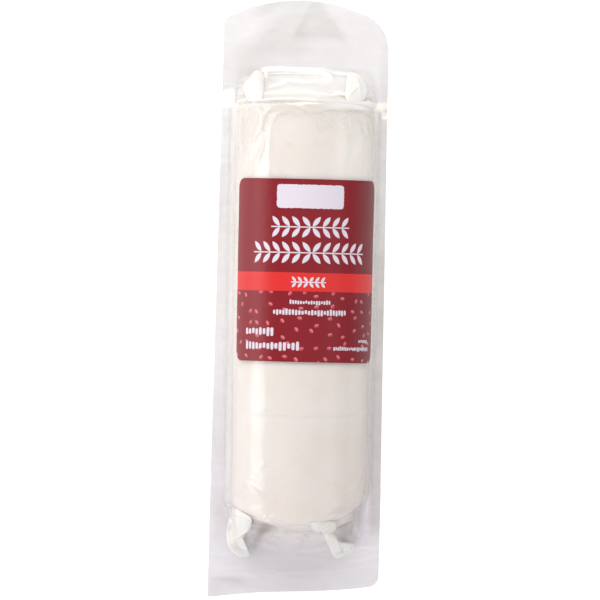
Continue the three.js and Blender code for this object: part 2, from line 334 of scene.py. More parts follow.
@dataclass(frozen=True)
class PackForm:
    """The form that the solids and the dressed pieces share, in the same named sizes."""

    radius_tab: float = 25.3
    radius_foot: float = 24.4
    axis_height: float = 23.9
    offset_tab: float = 0.3
    offset_foot: float = 0.9
    tab: LogEnd = LogEnd(1, 69.6, 0.8, 2.2, 3.5, 2.5, 12.6, 18.2)
    foot: LogEnd = LogEnd(-1, 78.3, 4.6, 2.0, 3.0, 8.5, 11.8, 18.6)
    seal_bow_share: float = 0.4
    pocket_hollow: float = 1.7
    pocket_ease: float = 1.6
    foot_least: float = -104.45
    pocket_shoulder: float = 2.0
    contact_share: float = 0.35
    thickness: float = 0.44
    half_width: float = 29.4
    widening: float = 0.0059
    wave: float = 0.8
    wave_length: float = 76.0
    tab_apex: float = 104.8
    tab_arc: float = 54.0
    tab_arc_offset: float = -2.0
    tab_corner_left: float = 2.0
    tab_corner_right: float = 9.5
    tab_corner_drop: float = 0.45
    foot_edge: float = -102.1
    foot_skew: float = 0.09
    foot_sway: float = 0.5
    foot_corner_left: float = 0.8
    foot_corner_right: float = 3.5
    side_gap: float = 0.9
    side_angle: float = 10.0

    def along(self, y: np.ndarray) -> np.ndarray:
        """How far along the log a place is: 0 at its foot and 1 at its tab end."""
        return np.clip((y + self.foot.tip) / (self.tab.tip + self.foot.tip), 0, 1)

    def radius(self, y: np.ndarray) -> np.ndarray:
        """The log's radius at a place along it."""
        return blend(self.radius_foot, self.radius_tab, self.along(y))

    def offset(self, y: np.ndarray) -> np.ndarray:
        """How far the log's axis lies to the side of the pack's."""
        return blend(self.offset_foot, self.offset_tab, self.along(y))

    def border_half(self, y: np.ndarray) -> np.ndarray:
        """Half the border's width at a place along the pack."""
        return self.half_width - self.widening * y

    def rim(self, end: LogEnd, aside: np.ndarray, turned: float) -> tuple[np.ndarray, np.ndarray]:
        """A point on the rounding of a rim.

        Args:
            end: The end of the log.
            aside: The share of the radius to the side, from -1 to 1.
            turned: How far over the rim, from 0 on the side to 1 on the end face.

        Returns:
            Its distance from the middle of the pack, and the share of the radius that is left.
        """
        rounding = end.rounding(aside)
        angle = turned * math.pi / 2
        reach = end.tip - end.bow * aside**2 - rounding * (1 - math.sin(angle))
        return reach, 1 - rounding * (1 - math.cos(angle)) / self.radius(end.sign * end.tip)

    @staticmethod
    def rounded(limit: np.ndarray, inset: np.ndarray, corner: float) -> np.ndarray:
        """How far an edge that reaches `limit` comes at an inset from its rounded corner."""
        cut = corner - np.sqrt(np.maximum(0, corner**2 - (corner - np.minimum(inset, corner)) ** 2))
        return limit - cut

    def tab_edge(self, x: np.ndarray) -> np.ndarray:
        """The tab's arched edge."""
        def arch(at: np.ndarray) -> np.ndarray:
            """The arc itself, without its corners."""
            rise = np.sqrt(self.tab_arc**2 - (at - self.tab_arc_offset) ** 2)
            return self.tab_apex - self.tab_arc + rise

        corner = np.where(x > 0, self.tab_corner_right, self.tab_corner_left)
        half = self.border_half(self.tab_apex)
        inset = half - np.abs(x)
        dropped = blend(arch(np.sign(x) * (half - corner)), arch(x), self.tab_corner_drop)
        return np.where(inset >= corner, arch(x), self.rounded(dropped, inset, corner))

    def foot_edge_at(self, x: np.ndarray) -> np.ndarray:
        """The foot's skewed edge."""
        edge = self.foot_edge + self.foot_skew * x
        edge = edge - self.foot_sway * np.sin(math.pi * x / self.half_width)
        corner = np.where(x > 0, self.foot_corner_right, self.foot_corner_left)
        inset = self.border_half(self.foot_edge) - np.abs(x)
        return np.maximum(-self.rounded(-edge, inset, corner), self.foot_least)

    def columns(self, arch_steps: int, border_steps: int) -> Columns:
        """The columns of a grid across the pack.

        Args:
            arch_steps: How many steps lie over the log.
            border_steps: How many steps lie in the border on each side.

        Returns:
            The columns, from left to right.
        """
        angle = np.radians(np.linspace(180 - self.side_angle, self.side_angle, arch_steps + 1))
        outward = np.linspace(0, 1, border_steps + 1)
        side = np.ones_like(outward)
        none = np.zeros_like(angle)
        return Columns(
            in_log=np.concatenate([side * 0, none + 1, side * 0]).astype(bool),
            aside=np.concatenate([-side, np.cos(angle), side]),
            lift=np.concatenate([side * 0, np.sin(angle), side * 0]),
            even=np.concatenate([-side, 1 - 2 * angle / math.pi, side]),
            out=np.concatenate([outward[::-1], none, outward]),
        )

    def film_row(self, row: Row, columns: Columns) -> tuple[np.ndarray, ...]:
        """One row of the front film.

        Args:
            row: The row.
            columns: The columns that it crosses.

        Returns:
            For each column its x, its y, its rise over the border and how far out it is there.
        """
        side = np.sign(columns.aside)
        gap = np.where(columns.in_log, 0, self.side_gap * side)
        if row.end is None:
            tab_side, _ = self.rim(self.tab, columns.aside, 0)
            foot_side, _ = self.rim(self.foot, columns.aside, 0)
            y = blend(tab_side, -foot_side, row.body)
            inner = self.offset(y) + columns.aside * self.radius(y) + gap
            x = np.where(columns.in_log, inner, blend(inner, side * self.border_half(y), columns.out))
            return x, y, self.radius(y) * columns.lift, columns.out
        end = row.end
        sinking = row.sunk if row.sunk is not None else float(row.flat is not None)
        turned = 1 - self.contact_share if row.turned is None else row.turned
        reach, share = self.rim(end, columns.aside, turned)
        middle = end.sign * end.tip
        radius = self.radius(middle) * share
        spread = blend(columns.aside * radius, columns.even * end.seal_half, sinking**self.pocket_shoulder)
        inner = self.offset(middle) + spread + gap
        x = np.where(columns.in_log, inner, blend(inner, side * self.border_half(middle), columns.out))
        seal = end.tip - end.bow * self.seal_bow_share * columns.aside**2 + end.reach
        y = end.sign * blend(reach, seal, sinking)
        out = columns.out
        if row.flat is not None:
            y = blend(y, self.tab_edge(x) if end.sign > 0 else self.foot_edge_at(x), row.flat)
            out = np.maximum(out, row.flat)
        rise = radius * columns.lift * (1 - sinking) ** (self.pocket_hollow + self.pocket_ease * sinking**3)
        return x, y, rise, out

    def border_height(self, x: np.ndarray, y: np.ndarray, out: np.ndarray) -> np.ndarray:
        """The height of the border's middle, which is never quite flat."""
        roll = np.sin(2 * math.pi * y / self.wave_length + x / self.half_width)
        return self.axis_height + self.wave * roll * out**2

    def pocket_rise(self, end: LogEnd, x: np.ndarray, past: np.ndarray, hollow: float = 1.7) -> np.ndarray:
        """How far a film stands off the border in a pocket.

        Args:
            end: The end of the log.
            x: The place across.
            past: How far past the rim.
            hollow: How hollow the film hangs, where 1 is straight.

        Returns:
            The rise over the border.
        """
        middle = end.sign * end.tip
        full = self.radius(middle)
        _, share = self.rim(end, np.clip(x / full, -1, 1), 1 - self.contact_share)
        arch = np.sqrt(np.maximum(0.0, (full * share) ** 2 - (x - self.offset(middle)) ** 2))
        return arch * (1 - np.clip(past / end.reach, 0, 1)) ** hollow

    def rim_line(self, end: LogEnd, x: np.ndarray) -> np.ndarray:
        """How far from the middle of the pack the rim lies at a place across."""
        return end.tip - end.bow * (x / self.radius_foot) ** 2

    def unrolled(self, x: np.ndarray, y: np.ndarray) -> np.ndarray:
        """How far round the log a place is from its front, along its surface."""
        radius = self.radius(y)
        share = np.clip((x - self.offset(y)) / radius, -1, 1)
        return radius * np.arcsin(share)


@dataclass(frozen=True)
class Ridge:
    """A line of relief in the film, drawn by a few points across and along the pack."""

    path: tuple[Point, ...]
    width: float
    height: float
    relief: Relief = Relief.FOLD

    def line(self) -> np.ndarray:
        """The line itself, as a smooth row of points."""
        return curve_through(self.path, 8 * len(self.path))

    def over(self, line: np.ndarray, spots: np.ndarray) -> np.ndarray:
        """The relief that this line gives.

        Args:
            line: The line's points, in the same flat coordinates as the places.
            spots: The places to read, one row each.

        Returns:
            How far each place is lifted.
        """
        reach = 4 * self.width
        low, high = line.min(0) - reach, line.max(0) + reach
        near = ((spots > low) & (spots < high)).all(axis=1)
        lifted = np.zeros(len(spots))
        if not near.any():
            return lifted
        here = spots[near]
        best = np.full(len(here), np.inf)
        place = np.zeros(len(here))
        for k in range(len(line) - 1):
            step = line[k + 1] - line[k]
            share = np.clip((here - line[k]) @ step / max(step @ step, 1e-9), 0, 1)
            distance = np.linalg.norm(here - line[k] - share[:, None] * step, axis=1)
            nearer = distance < best
            best[nearer] = distance[nearer]
            place[nearer] = (k + share[nearer]) / (len(line) - 1)
        fade = np.sin(math.pi * np.clip(place, 0.02, 0.98)) ** 0.6
        lifted[near] = self.height * fade * self.profile(best / self.width)
        return lifted

    def at(self, x: np.ndarray, y: np.ndarray) -> np.ndarray:
        """The relief at places across and along the pack."""
        return self.over(self.line(), np.stack([x.ravel(), y.ravel()], axis=1)).reshape(x.shape)

    def profile(self, away: np.ndarray) -> np.ndarray:
        """The height across the line, for distances in widths."""
        if self.relief is Relief.FOLD:
            return np.exp(-1.6 * away**1.2)
        if self.relief is Relief.ROLL:
            return np.exp(-1.4 * away**2)
        return -np.exp(-1.4 * away**2)


def pairs(*numbers: float) -> tuple[Point, ...]:
    """Places across and along the pack, from their numbers in a row."""
    return tuple(zip(numbers[::2], numbers[1::2]))


def drawn(*rows: tuple[Relief | float, ...]) -> tuple[Ridge, ...]:
    """Lines of relief, each from its kind, its width, its height and its places in a row."""
    return tuple(Ridge(pairs(*places), width, height, kind) for kind, width, height, *places in rows)


FOLD, ROLL, CREASE = Relief.FOLD, Relief.ROLL, Relief.CREASE

# The roll in the tab's pocket, closed on itself, and the short ones beside it, which glare() paints as
# highlights.
RING_LINES = drawn(
    (ROLL, 0.85, 0.6, -15.2, 78.0, -14.9, 79.7, -8.2, 80.2, -1.5, 80.2, 5.3, 80.0, 8.0, 79.3),
    (ROLL, 1.6, 0.6, 4.8, 79.5, 7.2, 78.9, 8.1, 77.9, 7.4, 77.0, 5.6, 76.8),
    (ROLL, 0.65, 0.5, 8.0, 76.5, 0.9, 76.3, -5.9, 76.6, -8.1, 75.4, -11.7, 74.3, -13.2, 73.7),
    (ROLL, 0.8, 0.5, -14.2, 79.8, -13.9, 78.4, -13.6, 77.0),
    (ROLL, 0.8, 0.5, 8.6, 70.9, 11.0, 72.0, 13.8, 72.0, 17.0, 71.4),
)

# The folds, rolls and creases of the front, from the tab's end to the foot's.
FRONT_LINES = (*drawn(
    (FOLD, 1.3, 0.42, -11.7, 43.5, -11.9, 52.0, -10.9, 61.5, -6.9, 65.6, -2.4, 65.2, 1.8, 62.0, 4.4, 55.0),
    (FOLD, 1.1, 0.3, -14.6, 51.0, -14.6, 60.0, -12.6, 65.6, -7.5, 67.6, -1.6, 67.0, 3.4, 63.2, 6.0, 57.0),
    (FOLD, 0.8, 0.5, 5.0, 66.4, 7.4, 64.3, 9.0, 61.4, 9.4, 59.4),
    (FOLD, 0.9, 0.4, 13.2, 63.8, 14.6, 66.2),
    (FOLD, 0.7, 0.3, -8.2, 62.0, -5.4, 63.4, -2.2, 64.1),
    (FOLD, 0.6, 0.2, -6.1, 54.6, -3.9, 53.5),
    (FOLD, 0.7, 0.3, -12.1, 43.9, -10.8, 47.6),
    (FOLD, 0.7, 0.3, -8.4, 44.5, -4.6, 42.8),
    (ROLL, 2.1, 0.3, 11.7, 66.2, 14.3, 61.4, 14.8, 52.7, 14.0, 44.5),
    (ROLL, 2.1, 0.42, 16.6, 66.7, 20.3, 62.6, 21.5, 55.7, 20.2, 49.3, 19.6, 44.0),
    (ROLL, 2.0, 0.32, 19.6, 66.3, 23.1, 61.7, 24.4, 53.0, 24.3, 44.0),
    (ROLL, 1.5, 0.34, -21.0, 66.5, -22.0, 60.5, -21.2, 51.8, -21.6, 44.0),
    (FOLD, 1.2, 0.4, -18.4, 66.9, -15.2, 64.4, -15.6, 59.0, -18.1, 53.2, -18.9, 47.5),
    (FOLD, 1.0, 0.34, -16.9, 43.6, -15.7, 48.5, -13.2, 55.2),
    (FOLD, 0.9, 0.3, -20.6, 64.6, -17.4, 67.6, -14.9, 65.3),
    (ROLL, 1.0, -0.1, -21.0, 67.9, -10.0, 68.4, 2.0, 67.2, 12.0, 65.9, 22.0, 65.6),
), *RING_LINES, *drawn(
    (FOLD, 0.6, 0.5, -24.2, 73.0, -23.1, 74.4, -21.7, 75.8),
    (FOLD, 0.9, 0.12, -21.8, -37.3, -10.9, -39.5, 3.0, -39.7, 16.7, -39.2, 24.0, -38.0),
    (FOLD, 0.7, 0.14, -13.2, -39.2, -9.6, -38.5),
    (FOLD, 0.7, 0.14, -12.6, -58.4, -9.4, -57.7),
    (ROLL, 1.5, 0.34, -18.6, -63.4, -14.5, -66.8, -10.0, -69.7),
    (ROLL, 1.3, 0.2, -20.6, -64.6, -17.2, -67.4, -13.2, -69.6),
    (ROLL, 1.5, 0.34, 22.3, -60.0, 20.4, -64.4, 17.1, -67.3, 12.4, -69.5),
    (ROLL, 1.4, 0.3, 23.3, -56.0, 22.4, -62.2, 21.4, -67.0),
    (ROLL, 1.6, 0.4, 19.6, -67.8, 16.0, -70.6, 9.5, -73.6),
    (CREASE, 1.2, 0.9, 21.9, -70.6, 17.6, -72.3, 14.0, -74.4),
    (FOLD, 0.8, 0.42, -9.0, -77.0, -6.7, -74.0),
    (FOLD, 0.7, 0.3, -10.8, -76.6, -9.2, -74.9),
    (FOLD, 0.7, 0.28, -1.1, -76.4, 0.5, -74.2),
    (FOLD, 0.9, 0.4, 11.0, -76.2, 13.2, -74.8, 12.6, -73.6),
    (CREASE, 0.9, 0.45, -21.8, -72.6, -19.4, -74.6, -16.4, -75.8),
    (ROLL, 0.8, 0.7, -17.0, -75.2, -14.0, -76.2, -9.5, -77.1, -2.0, -77.3, 5.3, -77.3, 8.6, -76.6,
     12.4, -75.2, 16.4, -73.8, 20.3, -71.8, 23.0, -69.6),
    (CREASE, 0.9, 0.9, -16.0, -77.4, -8.2, -78.8, -1.9, -79.4, 4.0, -79.0, 8.2, -78.0),
    (CREASE, 1.0, 0.6, 10.2, -78.4, 14.0, -77.6, 18.0, -75.9, 22.6, -72.4),
    (ROLL, 0.8, 0.4, -9.6, -79.9, -5.6, -80.4, -1.9, -81.2, 1.6, -80.7),
    (FOLD, 0.7, 0.6, 6.2, -77.4, 8.4, -78.8, 11.6, -78.2, 15.0, -78.4, 18.6, -78.0),
))

# The few lines that the sealed border shows.
BORDER_LINES = drawn(
    (ROLL, 0.7, 0.35, -29.4, -94.0, -22.0, -94.2, -15.6, -94.0),
    (ROLL, 0.7, 0.35, 17.6, -91.6, 24.0, -90.4, 29.5, -89.0),
    (ROLL, 0.8, 0.25, -29.4, -96.6, -12.0, -96.0, 2.3, -95.0, 16.0, -94.2, 29.6, -93.2),
    (CREASE, 1.4, 0.5, -30.0, -98.4, -22.0, -98.6, -15.4, -99.6),
    (ROLL, 0.6, 0.4, -16.4, -97.6, -14.0, -97.2, -11.0, -97.5),
    (ROLL, 0.7, 0.4, -29.6, -89.2, -25.0, -89.3, -21.0, -89.7),
    (ROLL, 0.7, 0.4, 19.4, -88.6, 22.0, -86.4, 26.0, -86.2, 29.6, -86.6),
    (ROLL, 1.7, 0.3, -22.9, 93.8, -14.0, 97.4, -6.0, 101.8),
    (ROLL, 1.0, 0.3, -22.4, 91.8, -16.0, 94.0, -9.4, 96.8),
    (ROLL, 0.45, 0.12, -15.0, 83.7, -4.0, 83.8, 9.0, 83.6),
)

# Painted shade on the film: the shaded ends of the log, the border beside them and the crease across the
# lower log.
SHADED_LINES = drawn(
    (ROLL, 2.3, 0.8, -4.0, -79.4, -7.9, -79.6, -11.3, -81.3, -13.3, -84.9, -15.0, -88.6),
    (ROLL, 2.0, 0.5, -17.0, -78.0, -13.0, -79.4, -8.0, -79.0),
    (ROLL, 1.8, 0.42, -6.0, -79.4, 0.0, -79.2, 6.0, -78.6),
    (ROLL, 2.0, 0.55, 13.0, -78.4, 18.1, -80.0, 20.4, -82.7, 20.6, -86.0),
    (ROLL, 2.4, 0.35, 24.6, -70.0, 22.4, -76.0, 22.0, -81.0),
    (ROLL, 1.9, 0.4, -30.0, -98.4, -22.0, -98.8, -15.6, -99.8),
    (ROLL, 3.4, 0.3, -26.8, -68.0, -26.6, -78.0, -26.4, -86.0),
    (ROLL, 3.0, 0.25, -30.0, -101.6, -24.0, -102.4),
    (ROLL, 0.8, 0.16, -21.8, -37.8, -10.9, -40.0, 3.0, -40.2, 16.7, -39.7, 25.0, -38.2),
)


@dataclass
class FilmFolds:
    """The folds, rolls and creases that the shrunken film shows on the front of the log."""

    form: PackForm
    label_across: Band = Band(-26.5, -24.5, 28.0, 30.0)
    label_along: Band = Band(-26.0, -24.0, 42.5, 44.0)
    shoulder_depth: float = 17.0
    foot_shoulder: float = 0.45
    foot_strands: float = 0.7
    strand_height: float = 0.06
    strand_pitch: float = 4.6
    strand_length: float = 26.0
    strand_sharpness: float = 5.0
    strand_sides: Ease = Ease(9.0, 17.0)
    sides_middle: float = -2.5
    least_strand: float = 0.06
    lean: float = 0.16
    lean_length: float = 9.0
    pocket_end: Ease = Ease(0.0, 4.0)
    crumple_height: float = 0.3
    crumple_tab: Ease = Ease(-2.5, 3.0)
    crumple_foot: Ease = Ease(-4.0, 2.0)
    crumple_end: Ease = Ease(10.0, 12.5)
    facet: float = 6.0
    full_lift: float = 0.5
    fold_pale: float = 0.4
    slack_pale: float = 0.42
    slack_edge: Ease = Ease(0.85, 1.25)
    slack_end: Ease = Ease(69.0, 70.5)
    slack_above: Ease = Ease(57.0, 63.0)
    slack_left: tuple[Ease, Ease] = (Ease(9.0, 13.0), Ease(46.0, 60.0))
    slack_right: tuple[Ease, Ease] = (Ease(6.0, 12.0), Ease(50.0, 62.0))
    right_share: float = 0.7
    clinging_middle: Point = (-3.7, 50.0)
    clinging_half: Point = (8.4, 14.6)
    rim_pale: float = 0.8
    rim_start: Ease = Ease(65.2, 66.8)
    rim_sides: Ease = Ease(-16.0, 10.0)

    def relief(self, x: np.ndarray, y: np.ndarray) -> np.ndarray:
        """How far the front film is lifted off the plain form.

        Args:
            x: Places across the pack.
            y: Places along the pack.

        Returns:
            The lift at each place.
        """
        spots = np.stack([self.form.unrolled(x, y), y], axis=1)
        lifted = np.zeros_like(x)
        for ridge in FRONT_LINES:
            line = ridge.line()
            line = np.stack([self.form.unrolled(line[:, 0], line[:, 1]), line[:, 1]], axis=1)
            lifted = lifted + ridge.over(line, spots)
        lifted = lifted + self.strands(x, y) + self.crumple(x, y)
        return lifted * (1 - self.label_across.at(x) * self.label_along.at(y))

    def paleness(self, x: np.ndarray, y: np.ndarray) -> np.ndarray:
        """How pale the film looks where it is lifted off the cheese.

        Args:
            x: Places across the pack.
            y: Places along the pack.

        Returns:
            A share from 0 to 1 at each place.
        """
        lifted = self.relief(x.ravel(), y.ravel()).reshape(x.shape)
        ending = self.slack_end.past(y)
        middle, start = self.clinging_middle
        half, tall = self.clinging_half
        arch = (np.abs(x - middle) / half) ** 4 + (np.maximum(0, y - start) / tall) ** 4
        left = self.slack_left[1].at(y) * self.slack_left[0].at(-x)
        right = self.right_share * self.slack_right[1].at(y) * self.slack_right[0].at(x)
        beside = np.maximum(np.maximum(self.slack_above.at(y), left), right)
        slack = self.slack_edge.at(arch) * beside * ending
        uneven = 0.5 * np.sin(x / 3.1) + 0.4 * np.sin(x / 1.7)
        # The pale band on the tab's rim is partly slack film and partly painted light where the roll would
        # shade it.
        rim = self.rim_start.at(y + uneven) * ending * self.rim_sides.at(x)
        folded = self.fold_pale * np.clip(lifted, 0, self.full_lift) / self.full_lift
        return folded + self.slack_pale * slack + self.rim_pale * rim

    def nearness(self, y: np.ndarray) -> tuple[np.ndarray, np.ndarray]:
        """How near a place is to the rim at the tab and at the foot, from 0 to 1."""
        depth = self.shoulder_depth
        tab = np.exp(-np.maximum(0, self.form.tab.tip - y) / depth)
        return tab, np.exp(-np.maximum(0, y + self.form.foot.tip) / (self.foot_shoulder * depth))

    def strands(self, x: np.ndarray, y: np.ndarray) -> np.ndarray:
        """Fine strands that run from the rims along the log.

        Args:
            x: Places across the pack.
            y: Places along the pack.

        Returns:
            The lift at each place.
        """
        tab, foot = self.nearness(y)
        past = np.maximum(y - self.form.tab.tip, -y - self.form.foot.tip)
        near = (tab + self.foot_strands * foot) * self.pocket_end.past(past)
        busy = near > 0.03
        lifted = np.zeros_like(x)
        lean = self.lean * np.sin(y / self.lean_length)
        across = self.form.unrolled(x, y) / self.strand_pitch + lean
        spots = np.stack([across, y / self.strand_length, 0 * y], axis=1)
        strand = (1 - np.abs(2 * field_noise(spots[busy], 3.7))) ** self.strand_sharpness
        sides = blend(self.least_strand, 1.0, self.strand_sides.at(np.abs(x[busy] - self.sides_middle)))
        lifted[busy] = self.strand_height * strand * near[busy] * sides
        return lifted

    def crumple(self, x: np.ndarray, y: np.ndarray) -> np.ndarray:
        """Crumpled facets in the slack film past the rims.

        Args:
            x: Places across the pack.
            y: Places along the pack.

        Returns:
            The lift at each place.
        """
        tab, foot = self.form.tab.tip, self.form.foot.tip
        ending = self.crumple_end.past(np.abs(y) - np.where(y > 0, tab, foot))
        near = (self.crumple_tab.at(y - tab) + self.crumple_foot.at(-y - foot)) * ending
        busy = near > 0.02
        lifted = np.zeros_like(x)
        facets = facet_noise(grains(x[busy], y[busy], self.facet, self.facet), 8.3)
        lifted[busy] = self.crumple_height * facets * near[busy]
        return lifted


class Tree:
    """A node tree with short calls for the nodes that the finishes use."""

    def __init__(self, tree: bpy.types.NodeTree) -> None:
        """Takes the tree to build in."""
        self.tree = tree

    def node(self, kind: str, *values: object, **settings: object) -> bpy.types.Node:
        """Adds a node, sets its properties and feeds its first sockets in order.

        Args:
            kind: The node's type.
            *values: What its first sockets get.
            **settings: Its properties by name.

        Returns:
            The node.
        """
        made = self.tree.nodes.new(kind)
        for name, value in settings.items():
            setattr(made, name, value)
        for socket, value in zip(made.inputs, values):
            self.feed(socket, value)
        return made

    def give(self, node: bpy.types.Node, **values: object) -> bpy.types.Node:
        """Feeds some of a node's sockets.

        Args:
            node: The node.
            **values: What each socket gets, by its name in small letters with underscores for spaces.

        Returns:
            The node.
        """
        sockets = {socket.name.lower().replace(" ", "_"): socket for socket in node.inputs}
        for name, value in values.items():
            self.feed(sockets[name], value)
        return node

    def feed(self, socket: bpy.types.NodeSocket, value: object) -> None:
        """Links a socket to another, or sets it to a plain value."""
        if isinstance(value, bpy.types.NodeSocket):
            self.tree.links.new(value, socket)
        elif isinstance(value, tuple) and socket.type == "RGBA" and len(value) == 3:
            socket.default_value = (*value, 1.0)
        else:
            socket.default_value = value

    def math(self, operation: str, *values: object, clamp: bool = False) -> bpy.types.NodeSocket:
        """A sum on numbers."""
        return self.node("ShaderNodeMath", *values, operation=operation, use_clamp=clamp).outputs[0]

    def vector(self, operation: str, *values: object) -> bpy.types.NodeSocket:
        """A sum on vectors, whose length and dot product are numbers."""
        made = self.node("ShaderNodeVectorMath", *values, operation=operation)
        return made.outputs["Value" if operation in ("LENGTH", "DOT_PRODUCT") else "Vector"]

    def mix(self, share: object, first: object, second: object) -> bpy.types.NodeSocket:
        """A colour between two."""
        made = self.node("ShaderNodeMix", data_type="RGBA")
        self.feed(made.inputs["Factor"], share)
        self.feed(made.inputs["A"], first)
        self.feed(made.inputs["B"], second)
        return made.outputs["Result"]

    def span(self, value: object, low: float, high: float, to_low: float = 0.0,
             to_high: float = 1.0) -> bpy.types.NodeSocket:
        """Eases a value from one span to another."""
        given = (value, low, high, to_low, to_high)
        return self.node("ShaderNodeMapRange", *given, interpolation_type="SMOOTHSTEP").outputs["Result"]

    def noise(self, place: object, scale: float, detail: float = 2.0,
              roughness: float = 0.5) -> bpy.types.NodeSocket:
        """Smooth noise from 0 to 1."""
        made = self.node("ShaderNodeTexNoise")
        self.give(made, vector=place, scale=scale, detail=detail, roughness=roughness)
        return made.outputs["Fac"]

    def parts(self, value: object) -> bpy.types.NodeSocket:
        """Splits a vector into its three numbers."""
        return self.node("ShaderNodeSeparateXYZ", value).outputs

    def join(self, x: object, y: object, z: object = 0.0) -> bpy.types.NodeSocket:
        """Joins three numbers into a vector."""
        return self.node("ShaderNodeCombineXYZ", x, y, z).outputs[0]

    def turned(self, place: object, angle: object) -> bpy.types.NodeSocket:
        """A place turned in its plane, by an angle in radians."""
        made = self.node("ShaderNodeVectorRotate", rotation_type="Z_AXIS")
        return self.give(made, vector=place, angle=angle).outputs["Vector"]

    def place(self) -> bpy.types.NodeSocket:
        """The place on the object, in metres."""
        return self.node("ShaderNodeTexCoord").outputs["Object"]

    def attribute(self, name: str) -> bpy.types.NodeSocket:
        """A number that is stored in the mesh."""
        return self.node("ShaderNodeAttribute", attribute_name=name).outputs["Fac"]

    def bump(self, height: object, distance: float) -> bpy.types.NodeSocket:
        """The normal that a height gives."""
        return self.give(self.node("ShaderNodeBump"), height=height, distance=distance).outputs["Normal"]

    def output(self, kind: str, value: object) -> None:
        """Ends the tree in an output node."""
        self.node(kind, value)


